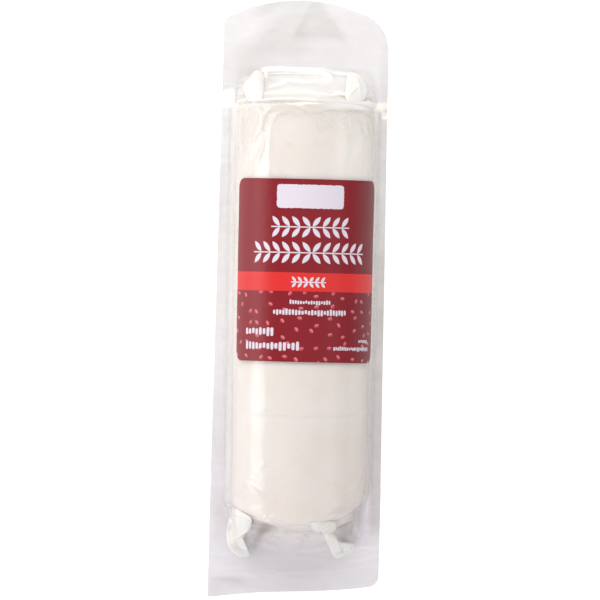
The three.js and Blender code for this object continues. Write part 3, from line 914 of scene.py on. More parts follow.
class Groups:
    """The shader groups that several finishes share, each built once."""

    made: dict[str, bpy.types.NodeTree] = {}

    @classmethod
    def begin(cls, name: str, vectors: Sequence[str],
              numbers: Sequence[str]) -> tuple[Tree, list[bpy.types.NodeSocket]]:
        """Starts a group, which has one number as its output.

        Args:
            name: The group's name.
            vectors: The names of the inputs that are places or sizes.
            numbers: The names of the inputs that are numbers.

        Returns:
            The group's tree and its inputs in order.
        """
        group = bpy.data.node_groups.new(name, "ShaderNodeTree")
        sockets = [(label, "INPUT", "NodeSocketVector") for label in vectors]
        sockets += [(label, "INPUT", "NodeSocketFloat") for label in numbers]
        for label, way, kind in (*sockets, ("Value", "OUTPUT", "NodeSocketFloat")):
            group.interface.new_socket(name=label, in_out=way, socket_type=kind)
        cls.made[name] = group
        tree = Tree(group)
        return tree, tree.node("NodeGroupInput").outputs[:len(sockets)]

    @classmethod
    def use(cls, tree: Tree, name: str, **values: object) -> bpy.types.NodeSocket:
        """Places a group in a tree and gives back its output."""
        return tree.give(tree.node("ShaderNodeGroup", node_tree=cls.made[name]), **values).outputs[0]

    @classmethod
    def build(cls) -> None:
        """Builds every group."""
        cls.field_mask()
        cls.leaf_row()
        cls.stitch_row()
        cls.grain()

    @classmethod
    def field_mask(cls) -> None:
        """A rounded field of print with a slightly rough edge."""
        tree, given = cls.begin("printed_field", ("Place", "Centre", "Half"), ("Corner", "Rough"))
        place, centre, half, corner, rough = given
        inset = tree.join(corner, corner)
        away = tree.vector("ABSOLUTE", tree.vector("SUBTRACT", place, centre))
        past = tree.vector("SUBTRACT", away, tree.vector("SUBTRACT", half, inset))
        flat = tree.vector("MULTIPLY", tree.vector("MAXIMUM", past, (0, 0, 0)), (1, 1, 0))
        past_x, past_y, _ = tree.parts(past)
        within = tree.math("MINIMUM", tree.math("MAXIMUM", past_x, past_y), 0.0)
        distance = tree.math("SUBTRACT", tree.vector("LENGTH", flat), corner)
        distance = tree.math("ADD", distance, within)
        ragged = tree.math("SUBTRACT", tree.noise(place, 1.1, 3.0, 0.6), 0.5)
        edge = tree.math("MULTIPLY_ADD", ragged, rough, distance)
        tree.output("NodeGroupOutput", tree.span(edge, -0.04, 0.05, 1.0, 0.0))

    @classmethod
    def row(cls, name: str) -> tuple[Tree, bpy.types.NodeSocket, ...]:
        """Starts a group for a row of ornaments.

        Args:
            name: The group's name.

        Returns:
            The tree, the place from the row's centre, the row's half size and the pitch.
        """
        tree, (place, centre, half, pitch) = cls.begin(name, ("Place", "Centre", "Half"), ("Pitch",))
        x, y, _ = tree.parts(tree.vector("SUBTRACT", place, centre))
        half_x, half_y, _ = tree.parts(half)
        return tree, x, y, half_x, half_y, pitch

    @classmethod
    def leaf_row(cls) -> None:
        """A straight sprig with pairs of pointed leaves, which mirror at its middle."""
        tree, x, y, half_x, half_y, pitch = cls.row("leaf_sprig")
        x = tree.math("ABSOLUTE", x)
        along = tree.math("FLOORED_MODULO", x, pitch)
        along = tree.math("SUBTRACT", along, tree.math("MULTIPLY", pitch, 0.5))
        aside = tree.math("SUBTRACT", tree.math("ABSOLUTE", y), tree.math("MULTIPLY", half_y, 0.52))
        leaning = tree.turned(tree.join(along, aside), math.radians(-52))
        long_way, cross_way, _ = tree.parts(leaning)
        reach = tree.math("DIVIDE", long_way, tree.math("MULTIPLY", half_y, 0.6))
        width = tree.math("DIVIDE", tree.math("ABSOLUTE", cross_way), tree.math("MULTIPLY", pitch, 0.24))
        leaf = tree.span(tree.math("MULTIPLY_ADD", reach, reach, width), 0.9, 1.04, 1.0, 0.0)
        stem = tree.span(tree.math("ABSOLUTE", y), 0.16, 0.26, 1.0, 0.0)
        inside = tree.span(tree.math("SUBTRACT", x, half_x), -0.1, 0.1, 1.0, 0.0)
        tree.output("NodeGroupOutput", tree.math("MULTIPLY", tree.math("MAXIMUM", leaf, stem), inside))

    @classmethod
    def stitch_row(cls) -> None:
        """A row of short rounded strokes of uneven height, like stitching."""
        tree, x, y, half_x, half_y, pitch = cls.row("stitch_row")
        steps = tree.math("DIVIDE", x, pitch)
        draw = tree.node("ShaderNodeTexWhiteNoise", noise_dimensions="1D")
        tree.give(draw, w=tree.math("FLOOR", steps))
        tall, _, shift = tree.parts(draw.outputs["Color"])
        along = tree.math("ABSOLUTE", tree.math("SUBTRACT", tree.math("FRACT", steps), 0.5))
        shift = tree.math("MULTIPLY", tree.math("SUBTRACT", shift, 0.5), 0.3)
        height = tree.math("MULTIPLY", half_y, tree.math("MULTIPLY_ADD", tall, 0.45, 0.55))
        level = tree.math("DIVIDE", tree.math("ABSOLUTE", tree.math("SUBTRACT", y, shift)), height)
        rounded = tree.math("POWER", tree.math("DIVIDE", along, 0.36), 4.0)
        rounded = tree.math("ADD", rounded, tree.math("POWER", level, 4.0))
        stroke = tree.span(rounded, 0.75, 1.3, 1.0, 0.0)
        inside = tree.math("LESS_THAN", tree.math("ABSOLUTE", x), half_x)
        tree.output("NodeGroupOutput", tree.math("MULTIPLY", stroke, inside))

    @classmethod
    def grain(cls) -> None:
        """Fine and coarse unevenness as one height."""
        tree, (place, coarse, fine) = cls.begin("soft_grain", ("Place",), ("Coarse", "Fine"))
        coarse, fine = tree.noise(place, coarse, 2.0), tree.noise(place, fine, 4.0, 0.65)
        tree.output("NodeGroupOutput", tree.math("MULTIPLY_ADD", coarse, 3.0, fine))


class Finish:
    """What every finish shares: an empty material with one Principled shader."""

    name = "finish"

    def begin(self) -> tuple[bpy.types.Material, Tree, bpy.types.Node]:
        """Makes the material.

        Returns:
            The material, its tree and its Principled shader.
        """
        material = bpy.data.materials.new(self.name)
        material.use_nodes = True
        material.node_tree.nodes.clear()
        tree = Tree(material.node_tree)
        shader = tree.node("ShaderNodeBsdfPrincipled")
        tree.output("ShaderNodeOutputMaterial", shader.outputs["BSDF"])
        return material, tree, shader


@dataclass(frozen=True)
class CheeseFinish(Finish):
    """Fresh goat cheese: off-white, soft and faintly mottled."""

    name: str = "fresh_cheese"
    light: Colour = (0.85, 0.79, 0.755)
    # Painted light: the lighter colour of the log's upper right.
    warm: Colour = (0.83, 0.76, 0.705)
    painted_light: Colour = (0.95, 0.895, 0.85)
    fleck: Colour = (0.76, 0.66, 0.54)
    film: Colour = (0.88, 0.865, 0.865)
    roughness: float = 0.5
    gloss_coat: float = 0.0
    softness: float = 0.35
    painted_light_across: tuple[float, float] = (0.008, 0.0165)
    painted_light_along: tuple[float, float] = (0.025, 0.052)
    painted_light_end: tuple[float, float] = (0.065, 0.068)

    def material(self) -> bpy.types.Material:
        """Builds the material."""
        material, tree, shader = self.begin()
        place = tree.place()
        mottle = tree.span(tree.noise(place, 90.0, 3.0, 0.6), 0.35, 0.7)
        colour = tree.mix(mottle, self.light, self.warm)
        across, along, _ = tree.parts(place)
        # The log's front is lighter on its upper right: painted light.
        painted_light = tree.math("MULTIPLY", tree.span(across, *self.painted_light_across), tree.span(along, *self.painted_light_along))
        painted_light = tree.math("MULTIPLY", painted_light, tree.span(along, *self.painted_light_end, 1.0, 0.0))
        colour = tree.mix(painted_light, colour, self.painted_light)
        flecks = tree.give(tree.node("ShaderNodeTexVoronoi"), vector=place, scale=160.0)
        dot = tree.span(flecks.outputs["Distance"], 0.03, 0.07, 0.3, 0.0)
        colour = tree.mix(dot, colour, self.fleck)
        colour = tree.mix(tree.attribute("clear"), colour, self.film)
        height = Groups.use(tree, "soft_grain", place=place, coarse=260.0, fine=1400.0)
        tree.give(shader, base_color=colour, roughness=self.roughness, normal=tree.bump(height, 0.00005),
                  subsurface_weight=self.softness, subsurface_scale=0.004,
                  subsurface_radius=(1.0, 0.7, 0.45), coat_weight=self.gloss_coat, coat_roughness=0.08)
        return material


@dataclass(frozen=True)
class FilmFinish(Finish):
    """Clear glossy film, hazy where its two layers are sealed together."""

    name: str = "clear_film"
    tint: Colour = srgb(247, 245, 245)
    tint_foot: Colour = srgb(247, 243, 249)
    cream: Colour = (0.9, 0.855, 0.79)
    # Painted highlights take the glare colour, and painted shade takes the shaded colour.
    glare: Colour = (1.0, 0.99, 0.98)
    shaded: Colour = (0.38, 0.33, 0.3)
    head_on: float = 0.06
    grazing: float = 0.6
    clear_haze: float = 0.012
    sealed_haze: float = 0.64
    smear_cover: float = 0.6
    shade_cover: float = 0.55
    glare_cover: float = 0.3
    roughness: float = 0.05
    haze_roughness: float = 0.33

    def material(self) -> bpy.types.Material:
        """Builds the material. Gloss and haze each cover a share of what lies behind."""
        material, tree, shader = self.begin()
        place = tree.place()
        haze = tree.attribute("haze")
        # The smear attribute holds painted shade below 0, cheese smears and pale film up to 1, and painted
        # highlights from 1 to 2.
        smear = tree.math("MAXIMUM", tree.attribute("smear"), 0.0)
        glare = tree.math("SUBTRACT", smear, 1.0, clamp=True)
        smear = tree.math("MINIMUM", smear, 1.0)
        shade = tree.math("MAXIMUM", tree.math("MULTIPLY", tree.attribute("smear"), -1.0), 0.0)
        facing = tree.give(tree.node("ShaderNodeLayerWeight"), blend=0.5)
        grazing = tree.math("POWER", facing.outputs["Facing"], 5.0)
        gloss = tree.math("MULTIPLY_ADD", grazing, self.grazing, self.head_on)
        streaks = tree.vector("MULTIPLY", place, (0.35, 1.0, 1.0))
        cloud = tree.span(tree.noise(streaks, 110.0, 2.0), 0.3, 0.75, 0.82, 1.15)
        milk = tree.math("MULTIPLY_ADD", haze, self.sealed_haze, self.clear_haze)
        milk = tree.math("MULTIPLY", milk, cloud)
        milk = tree.math("MULTIPLY_ADD", smear, self.smear_cover, milk)
        milk = tree.math("MULTIPLY_ADD", shade, self.shade_cover, milk)
        milk = tree.math("MULTIPLY_ADD", glare, self.glare_cover, milk)
        cover = tree.math("ADD", gloss, milk, clamp=True)
        _, along, _ = tree.parts(place)
        tint = tree.mix(tree.span(along, 0.0, -0.09), self.tint, self.tint_foot)
        colour = tree.mix(shade, tree.mix(smear, tint, self.cream), self.shaded)
        rough = tree.math("MULTIPLY_ADD", haze, self.haze_roughness, self.roughness)
        height = Groups.use(tree, "soft_grain", place=place, coarse=170.0, fine=700.0)
        tree.give(shader, base_color=tree.mix(glare, colour, self.glare), roughness=rough, alpha=cover,
                  metallic=tree.math("DIVIDE", gloss, cover, clamp=True), normal=tree.bump(height, 0.00006))
        return material


@dataclass(frozen=True)
class LabelFinish(Finish):
    """Dark red print with a satin varnish, in plain fields and simple shapes."""

    name: str = "printed_label"
    ground: Colour = srgb(134, 14, 29)
    ground_light: Colour = srgb(144, 22, 36)
    # Painted shade: the darker ground towards the label's right edge.
    ground_right: Colour = srgb(112, 6, 20)
    band: Colour = srgb(222, 44, 42)
    pale: Colour = srgb(224, 216, 228)
    seed: Colour = srgb(190, 72, 88)
    seed_light: Colour = srgb(222, 120, 134)
    roughness: float = 0.33
    varnish: float = 0.44
    width: float = 59.5
    seed_cell: Point = (0.2, 0.23)

    def material(self) -> bpy.types.Material:
        """Builds the material. It reads the label's own map, in millimetres from its top left."""
        material, tree, shader = self.begin()
        place = tree.node("ShaderNodeUVMap", uv_map="label_mm").outputs["UV"]
        middle = self.width / 2
        shade = tree.noise(place, 0.22, 2.0)
        colour = tree.mix(tree.span(shade, 0.3, 0.7, 0.0, 0.22), self.ground, self.ground_light)
        across, _, _ = tree.parts(place)
        # The ground darkens towards the right edge: painted shade.
        colour = tree.mix(tree.span(across, 40.0, 54.0, 0.0, 0.7), colour, self.ground_right)
        colour = tree.mix(self.seed_mask(tree, place), colour, self.seed_colour(tree, place))
        band = self.box(tree, place, (middle, 35.75), (middle + 2, 3.25), 0.05, 0.42)
        colour = tree.mix(band, colour, self.band)
        plate = self.box(tree, place, (29.6, 6.1), (11.9, 4.1), 1.2, 0.8)
        colour = tree.mix(plate, colour, self.pale)
        for group, centre, half, pitch in self.motifs():
            motif = Groups.use(tree, group, place=place, centre=(*centre, 0), half=(*half, 0), pitch=pitch)
            colour = tree.mix(self.worn(tree, place, motif), colour, self.pale)
        fibre = Groups.use(tree, "soft_grain", place=place, coarse=0.6, fine=5.0)
        tree.give(shader, base_color=colour, roughness=self.roughness, specular_ior_level=self.varnish,
                  normal=tree.bump(fibre, 0.00002))
        return material

    @staticmethod
    def motifs() -> list[tuple[str, Point, Point, float]]:
        """The plain ornaments: the group, the centre, the half size and the pitch of each."""
        return [
            ("leaf_sprig", (29.9, 16.7), (14.1, 3.7), 3.525),
            ("leaf_sprig", (30.1, 25.6), (21.15, 3.8), 3.525),
            ("leaf_sprig", (29.3, 35.8), (6.0, 1.9), 2.0),
            ("stitch_row", (30.0, 42.8), (7.2, 0.8), 0.9),
            ("stitch_row", (30.2, 46.3), (13.2, 1.15), 1.1),
            ("stitch_row", (11.6, 53.1), (6.0, 1.6), 1.5),
            ("stitch_row", (16.2, 58.1), (10.5, 1.6), 1.5),
            ("stitch_row", (52.6, 55.9), (2.8, 0.75), 0.8),
            ("stitch_row", (47.3, 58.6), (8.8, 0.8), 0.8),
        ]

    @staticmethod
    def box(tree: Tree, place: object, centre: Point, half: Point, corner: float, rough: float) -> object:
        """A rounded field of print."""
        return Groups.use(tree, "printed_field", place=place, centre=(*centre, 0), half=(*half, 0),
                          corner=corner, rough=rough)

    @staticmethod
    def worn(tree: Tree, place: object, mask: object) -> object:
        """A field whose ink is a little broken."""
        broken = tree.span(tree.noise(place, 3.2, 3.0, 0.7), 0.3, 0.42, 0.35, 1.0)
        return tree.math("MULTIPLY", mask, broken)

    def scatter(self, tree: Tree, place: object) -> tuple[object, object]:
        """A scatter of small ovals: the place within the nearest one and its random number."""
        cell = (*self.seed_cell, 1.0)
        spread = tree.vector("MULTIPLY", place, cell)
        cells = tree.node("ShaderNodeTexVoronoi", voronoi_dimensions="2D")
        tree.give(cells, vector=spread, scale=1.0, randomness=0.72)
        away = tree.vector("DIVIDE", tree.vector("SUBTRACT", spread, cells.outputs["Position"]), cell)
        draw, _, _ = tree.parts(cells.outputs["Color"])
        return tree.turned(away, tree.math("MULTIPLY_ADD", draw, 2.4, -1.2)), draw

    def seed_mask(self, tree: Tree, place: object) -> object:
        """Where the small ovals are printed, in the field below the band."""
        within, _ = self.scatter(tree, place)
        size = tree.vector("LENGTH", tree.vector("MULTIPLY", within, (1 / 0.86, 1 / 0.6, 0.0)))
        _, down, _ = tree.parts(place)
        below = tree.span(down, 39.0, 39.2)
        return tree.math("MULTIPLY", tree.span(size, 0.85, 1.1, 1.0, 0.0), below)

    def seed_colour(self, tree: Tree, place: object) -> object:
        """An oval's colour, lighter towards one side."""
        within, draw = self.scatter(tree, place)
        _, across, _ = tree.parts(within)
        lit = tree.span(tree.math("MULTIPLY_ADD", draw, 0.3, across), -0.2, 0.5, 1.0, 0.0)
        return tree.mix(lit, self.seed, self.seed_light)


@dataclass(frozen=True)
class FloorFinish(Finish):
    """A plain pale tabletop."""

    name: str = "pale_table"
    colour: Colour = (0.83, 0.82, 0.825)
    glow: float = 0.55

    def material(self) -> bpy.types.Material:
        """Builds the material. Where the table is seen bare or mirrored it comes out nearly white."""
        material, tree, shader = self.begin()
        path = tree.node("ShaderNodeLightPath")
        bare = tree.math("LESS_THAN", path.outputs["Transparent Depth"], 0.5)
        direct = tree.math("MULTIPLY", path.outputs["Is Camera Ray"], bare)
        # Where the film mirrors the table's left half, the table glows: a painted reflection.
        across, _, _ = tree.parts(tree.place())
        mirrored = tree.math("MULTIPLY", path.outputs["Is Glossy Ray"], tree.span(across, 0.03, -0.03))
        direct = tree.math("MAXIMUM", direct, mirrored)
        tree.give(shader, base_color=self.colour, roughness=0.9, specular_ior_level=0.1,
                  emission_color=(1.0, 1.0, 1.0), emission_strength=tree.math("MULTIPLY", direct, self.glow))
        return material


@dataclass
class FilmPack:
    """The clear film: one closed skin round the log, over the pockets and out to the border's edge."""

    form: PackForm
    folds: FilmFolds
    name: str = "film_pack"
    arch_steps: int = 120
    border_steps: int = 14
    seal_lines: tuple[tuple[float, float, float], ...] = (
        (95.0, 0.10, 0.5), (90.4, 0.12, 0.7), (84.0, 0.08, 0.9))
    foot_seal: float = -95.4
    seal_lean: float = 0.02
    foot_seal_lean: float = 0.05
    body_steps: tuple[tuple[float, float, int], ...] = (
        (0.0, 0.19, 62), (0.19, 0.63, 26), (0.63, 0.87, 40), (0.87, 1.0, 40))
    tab_ease: float = 1.2
    back_share: float = 0.8
    slow_height: float = 0.9
    slow_grain: Point = (17.0, 26.0)
    pressed_depth: Point = (2.6, 1.2)
    patch_grain: Point = (5.4, 3.6)
    steep: Ease = Ease(0.93, 0.985)
    steep_haze: float = 0.35
    side_haze: float = 0.6
    tab_sinking: Ease = Ease(0.1, 0.3)
    tab_haze: float = 0.62
    foot_sinking: tuple[Ease, Ease] = (Ease(0.1, 0.35), Ease(0.5, 1.0))
    foot_haze: tuple[float, float, float] = (0.03, 0.5, 0.47)
    foot_smear: tuple[Ease, Ease] = (Ease(-1.0, 1.5), Ease(4.5, 9.0))
    foot_patches: Ease = Ease(-0.35, 0.5)
    foot_smear_pale: float = 0.45
    tab_smear: Ease = Ease(-1.2, -0.4)
    tab_smear_end: Ease = Ease(-0.5, 0.4)
    tab_smear_height: float = 3.6
    tab_veil: Band = Band(0.0, 1.0, 9.0, 13.0)
    tab_veil_pale: float = 0.4
    over_log: Ease = Ease(0.2, 2.0)
    wall: Band = Band(0.84, 0.96, 1.0, 1.04)
    wall_along: Band = Band(-78.0, -72.0, 64.0, 68.0)
    wall_pale: float = 0.42
    line_pale: float = 0.3
    ring_glare: Ease = Ease(0.25, 0.75)
    side_glare: tuple[Ease, Ease] = (Ease(24.3, 24.9), Ease(26.8, 27.4))
    right_glare: float = 0.6
    rim_glare: Band = Band(65.9, 67.3, 69.2, 69.9)
    rim_glare_across: Ease = Ease(1.0, 13.0)
    rim_glare_strength: float = 0.7
    fan_low: float = 91.4
    fan_left: tuple[float, float, float] = (-4.9, 1.0, 12.1)
    fan_right: tuple[float, float, float] = (14.2, 5.8, 11.7)
    # A dark reflection painted on the tab's border, fanned between two lines.
    fan_dark_reflection: float = 0.24
    beside: Ease = Ease(25.6, 26.8)
    beside_fading: Ease = Ease(-50.0, 60.0)
    beside_shade: Point = (0.46, 0.18)
    beside_along: Band = Band(-86.0, -76.0, 84.0, 97.0)
    corner_shade: float = 0.24
    corner_along: Band = Band(73.0, 79.0, 86.0, 92.0)
    upper_shade: float = 0.26
    upper_along: Ease = Ease(80.0, 90.0)
    upper_across: tuple[Ease, Ease] = (Ease(-22.0, -13.0), Ease(-4.0, 3.0))

    def end_rows(self, end: LogEnd, ease: float) -> list[Row]:
        """The rows of one end, close together, from its rim out to the edge.

        Args:
            end: The end of the log.
            ease: The power by which the rows in the border grow apart.

        Returns:
            The rows.
        """
        rows = [Row(end=end, turned=float(s)) for s in np.linspace(0, 1 - self.form.contact_share, 7)[:-1]]
        rows += [Row(end=end, sunk=float(s)) for s in np.linspace(0, 1, 34)]
        return rows + [Row(end=end, flat=float(s) ** ease) for s in np.linspace(0, 1, 16)[1:]]

    def rows(self) -> list[Row]:
        """The rows of the grid, from the tab's edge to the foot's and far apart under the label."""
        steps = [np.linspace(a, b, n, endpoint=False) for a, b, n in self.body_steps]
        body = [Row(body=float(s)) for s in np.concatenate(steps)[1:]]
        return self.end_rows(self.form.tab, self.tab_ease)[::-1] + body + self.end_rows(self.form.foot, 1.0)

    def build(self, material: bpy.types.Material) -> bpy.types.Object:
        """Models the film.

        Args:
            material: The film's finish.

        Returns:
            The piece.
        """
        rows, columns = self.rows(), self.form.columns(self.arch_steps, self.border_steps)
        grid = np.array([self.form.film_row(row, columns) for row in rows])
        x, y, rise, out = grid[:, 0], grid[:, 1], grid[:, 2], grid[:, 3]
        piece, (row, column, level) = Bench.grid(self.name, *x.shape, thick=True)
        middle = self.form.border_height(x, y, out) + self.ripple(x, y, out)
        half = self.form.thickness / 2 + self.seals(x, y, out)
        front = np.stack([x, y, middle + half + rise], axis=-1)
        back = np.stack([x, y, np.maximum(0, middle - half - rise)], axis=-1)
        front = front + self.normals(front) * self.lift(x, y, out)[..., None]
        behind = self.back_share * self.lift(-x, y, out) * (back[..., 2] > 1.5)
        back = back - self.normals(back) * behind[..., None]
        Bench.place(piece, np.where((level == 1)[:, None], front[row, column], back[row, column]))
        Bench.attribute(piece, "haze", self.haze(rows, columns)[row, column])
        Bench.attribute(piece, "smear", self.smear(x, y, rise)[row, column] * level)
        Bench.close(piece, crisp=60.0)
        Bench.settle(piece, material, Slot.CHEESE, "sealed_pack")
        return piece

    def lift(self, x: np.ndarray, y: np.ndarray, out: np.ndarray) -> np.ndarray:
        """The folds' lift over the log and its pockets, and none in the border."""
        lifted = self.folds.relief(x.ravel(), y.ravel()).reshape(x.shape)
        return lifted * (1 - smooth(0, 0.2, out))

    @staticmethod
    def normals(points: np.ndarray) -> np.ndarray:
        """The upward normals of a grid of points.

        Args:
            points: The points, by row and column.

        Returns:
            A normal for each.
        """
        normal = np.cross(np.gradient(points, axis=1), -np.gradient(points, axis=0))
        normal = normal / np.maximum(np.linalg.norm(normal, axis=-1, keepdims=True), 1e-9)
        return np.where(normal[..., 2:] < 0, -normal, normal)

    @staticmethod
    def pressed(y: np.ndarray) -> tuple[np.ndarray, np.ndarray]:
        """How far a place along the border belongs to the dent at its left and to the one at its right."""
        return np.exp(-(((y - 70.5) / 3.2) ** 8)), np.exp(-(((y - 65.6) / 1.3) ** 6))

    def ripple(self, x: np.ndarray, y: np.ndarray, out: np.ndarray) -> np.ndarray:
        """Slow unevenness of the sealed border.

        Args:
            x: Places across the pack.
            y: Places along the pack.
            out: How far out in the border they lie.

        Returns:
            The change of height at each place.
        """
        slow = self.slow_height * field_noise(grains(x, y, *self.slow_grain), 5.1).reshape(x.shape)
        lines = sum(ridge.at(x, y) for ridge in BORDER_LINES)
        left, right = self.pressed(y)
        left, right = smooth(24.6, 29.0, -x) * left, smooth(26.6, 29.0, x) * right
        deep_left, deep_right = self.pressed_depth
        return (slow + lines) * smooth(0.1, 1.0, out) - deep_left * left - deep_right * right

    def seals(self, x: np.ndarray, y: np.ndarray, out: np.ndarray) -> np.ndarray:
        """Thin raised lines where the sealing bars pressed."""
        raised = sum(h * np.exp(-(((y - at + self.seal_lean * x) / w) ** 2)) for at, h, w in self.seal_lines)
        raised = raised + 0.1 * np.exp(-(((y - self.foot_seal - self.foot_seal_lean * x) / 0.8) ** 2))
        return raised * smooth(0.02, 0.2, out)

    def haze(self, rows: list[Row], columns: Columns) -> np.ndarray:
        """How milky the film is: full in the border and none where it clings to the cheese.

        Args:
            rows: The rows of the grid.
            columns: Its columns.

        Returns:
            A share from 0 to 1 at each place of the grid.
        """
        steep = self.steep_haze * self.steep.at(np.abs(columns.aside))
        side = np.where(columns.in_log, steep, blend(self.side_haze, 1.0, smooth(0, 0.4, columns.out)))
        grid = np.tile(side, (len(rows), 1))
        for i, row in enumerate(rows):
            if row.flat is not None:
                grid[i] = 1.0
            elif row.sunk is not None:
                grid[i] = np.maximum(grid[i], self.hanging(row))
        return grid

    def hanging(self, row: Row) -> float:
        """How milky a row of film is that hangs free in a pocket."""
        if row.end is self.form.tab:
            return float(blend(row.sunk**3, self.tab_sinking.at(row.sunk), self.tab_haze))
        least, first, second = self.foot_haze
        start, rest = self.foot_sinking
        return float(least + first * start.at(row.sunk) + second * rest.at(row.sunk))

    def smear(self, x: np.ndarray, y: np.ndarray, rise: np.ndarray) -> np.ndarray:
        """How the film is smeared, and where shade and highlights are painted on it.

        Args:
            x: Places across the pack.
            y: Places along the pack.
            rise: How far the film stands off the border there.

        Returns:
            Down to -1 where shade is painted, up to 1 where cheese clings to it, and up to 2 where a
            highlight is painted.
        """
        pale = (self.pockets(x, y) + self.folds.paleness(x, y)) * self.over_log.at(rise)
        share = np.abs(x - self.form.offset(y)) / self.form.radius(y)
        pale = pale + self.wall_pale * self.wall.at(share) * self.wall_along.at(y)
        # Along the border's raised lines the film is painted pale: painted highlights.
        for ridge in BORDER_LINES:
            pale = pale + self.line_pale * np.clip(ridge.at(x, y) / ridge.height, 0, 1)
        shade = self.shade(x, y)
        pale = np.clip(pale, 0, 1) * (1 - np.clip(1.5 * shade, 0, 1)) - shade
        return blend(pale, 2.0, self.glare(x, y))

    def pockets(self, x: np.ndarray, y: np.ndarray) -> np.ndarray:
        """Traces of cheese on the inside of the pockets.

        Args:
            x: Places across the pack.
            y: Places along the pack.

        Returns:
            How pale they make the film.
        """
        spots = grains(x, y, *self.patch_grain)
        patches = (field_noise(spots, 12.4) + 0.5 * field_noise(spots * 2.7, 2.2)).reshape(x.shape)
        start, end = self.foot_smear
        foot = start.at(-y - self.form.foot.tip)
        foot = foot * end.past(-y - self.form.foot.tip + 0.12 * np.abs(x - 4))
        band = y - self.form.tab.tip - 0.1 * patches
        top = self.tab_smear_height - 0.01 * (x + 3.0) ** 2
        tab = self.tab_smear.at(band) * self.tab_smear_end.past(band - top) * (0.85 + 0.15 * patches)
        tab = tab + self.tab_veil_pale * self.tab_veil.at(band)
        spread = self.foot_patches.at(patches + 0.3 * smooth(12, 6, np.abs(x - 1)))
        return self.foot_smear_pale * foot * spread + tab

    def glare(self, x: np.ndarray, y: np.ndarray) -> np.ndarray:
        """Painted highlights, where the film is painted white: the ring in the tab's pocket, its rim and two
        dents in the border.

        Args:
            x: Places across the pack.
            y: Places along the pack.

        Returns:
            A share from 0 to 1 at each place.
        """
        ring = np.max([ridge.at(x, y) / ridge.height for ridge in RING_LINES], axis=0)
        left, right = (side.at(at) for side, at in zip(self.side_glare, (-x, x)))
        left = left * np.exp(-(((y - 70.2) / 3.0) ** 8))
        right = right * np.exp(-(((y - 65.4) / 1.2) ** 6))
        rim = self.rim_glare.at(y) * self.rim_glare_across.at(x)
        shine = self.ring_glare.at(ring) + left + self.right_glare * right
        return np.clip(shine + self.rim_glare_strength * rim, 0, 1)

    def shade(self, x: np.ndarray, y: np.ndarray) -> np.ndarray:
        """Painted shade, where the film is painted darker: the shaded ends of the log, the log's shadow on
        the right border, a dark reflection fanned across the tab's border, and fields at the tab's upper
        left.

        Args:
            x: Places across the pack.
            y: Places along the pack.

        Returns:
            A share from 0 to 1 at each place.
        """
        dark = sum(line.at(x, y) for line in SHADED_LINES)
        # The fan is a painted dark reflection, and beside is the log's shadow painted on the right border.
        left, right = (blend(low, high, (y - self.fan_low) / tall)
                       for low, high, tall in (self.fan_left, self.fan_right))
        fanned = smooth(-0.4, 0.4, x - left) * smooth(-0.4, 0.4, right - x) * smooth(91.0, 91.8, y)
        beside = self.beside.at(x) * blend(*self.beside_shade, self.beside_fading.at(y))
        beside = beside * self.beside_along.at(y)
        corner = self.corner_shade * np.exp(-(((x + 20.0) / 6.5) ** 2)) * self.corner_along.at(y)
        upper = self.upper_shade * self.upper_along.at(y) * self.upper_across[0].at(x)
        upper = upper * (1 - 0.7 * self.upper_across[1].at(x))
        return np.clip(dark + self.fan_dark_reflection * fanned + beside + corner + upper, 0, 1)


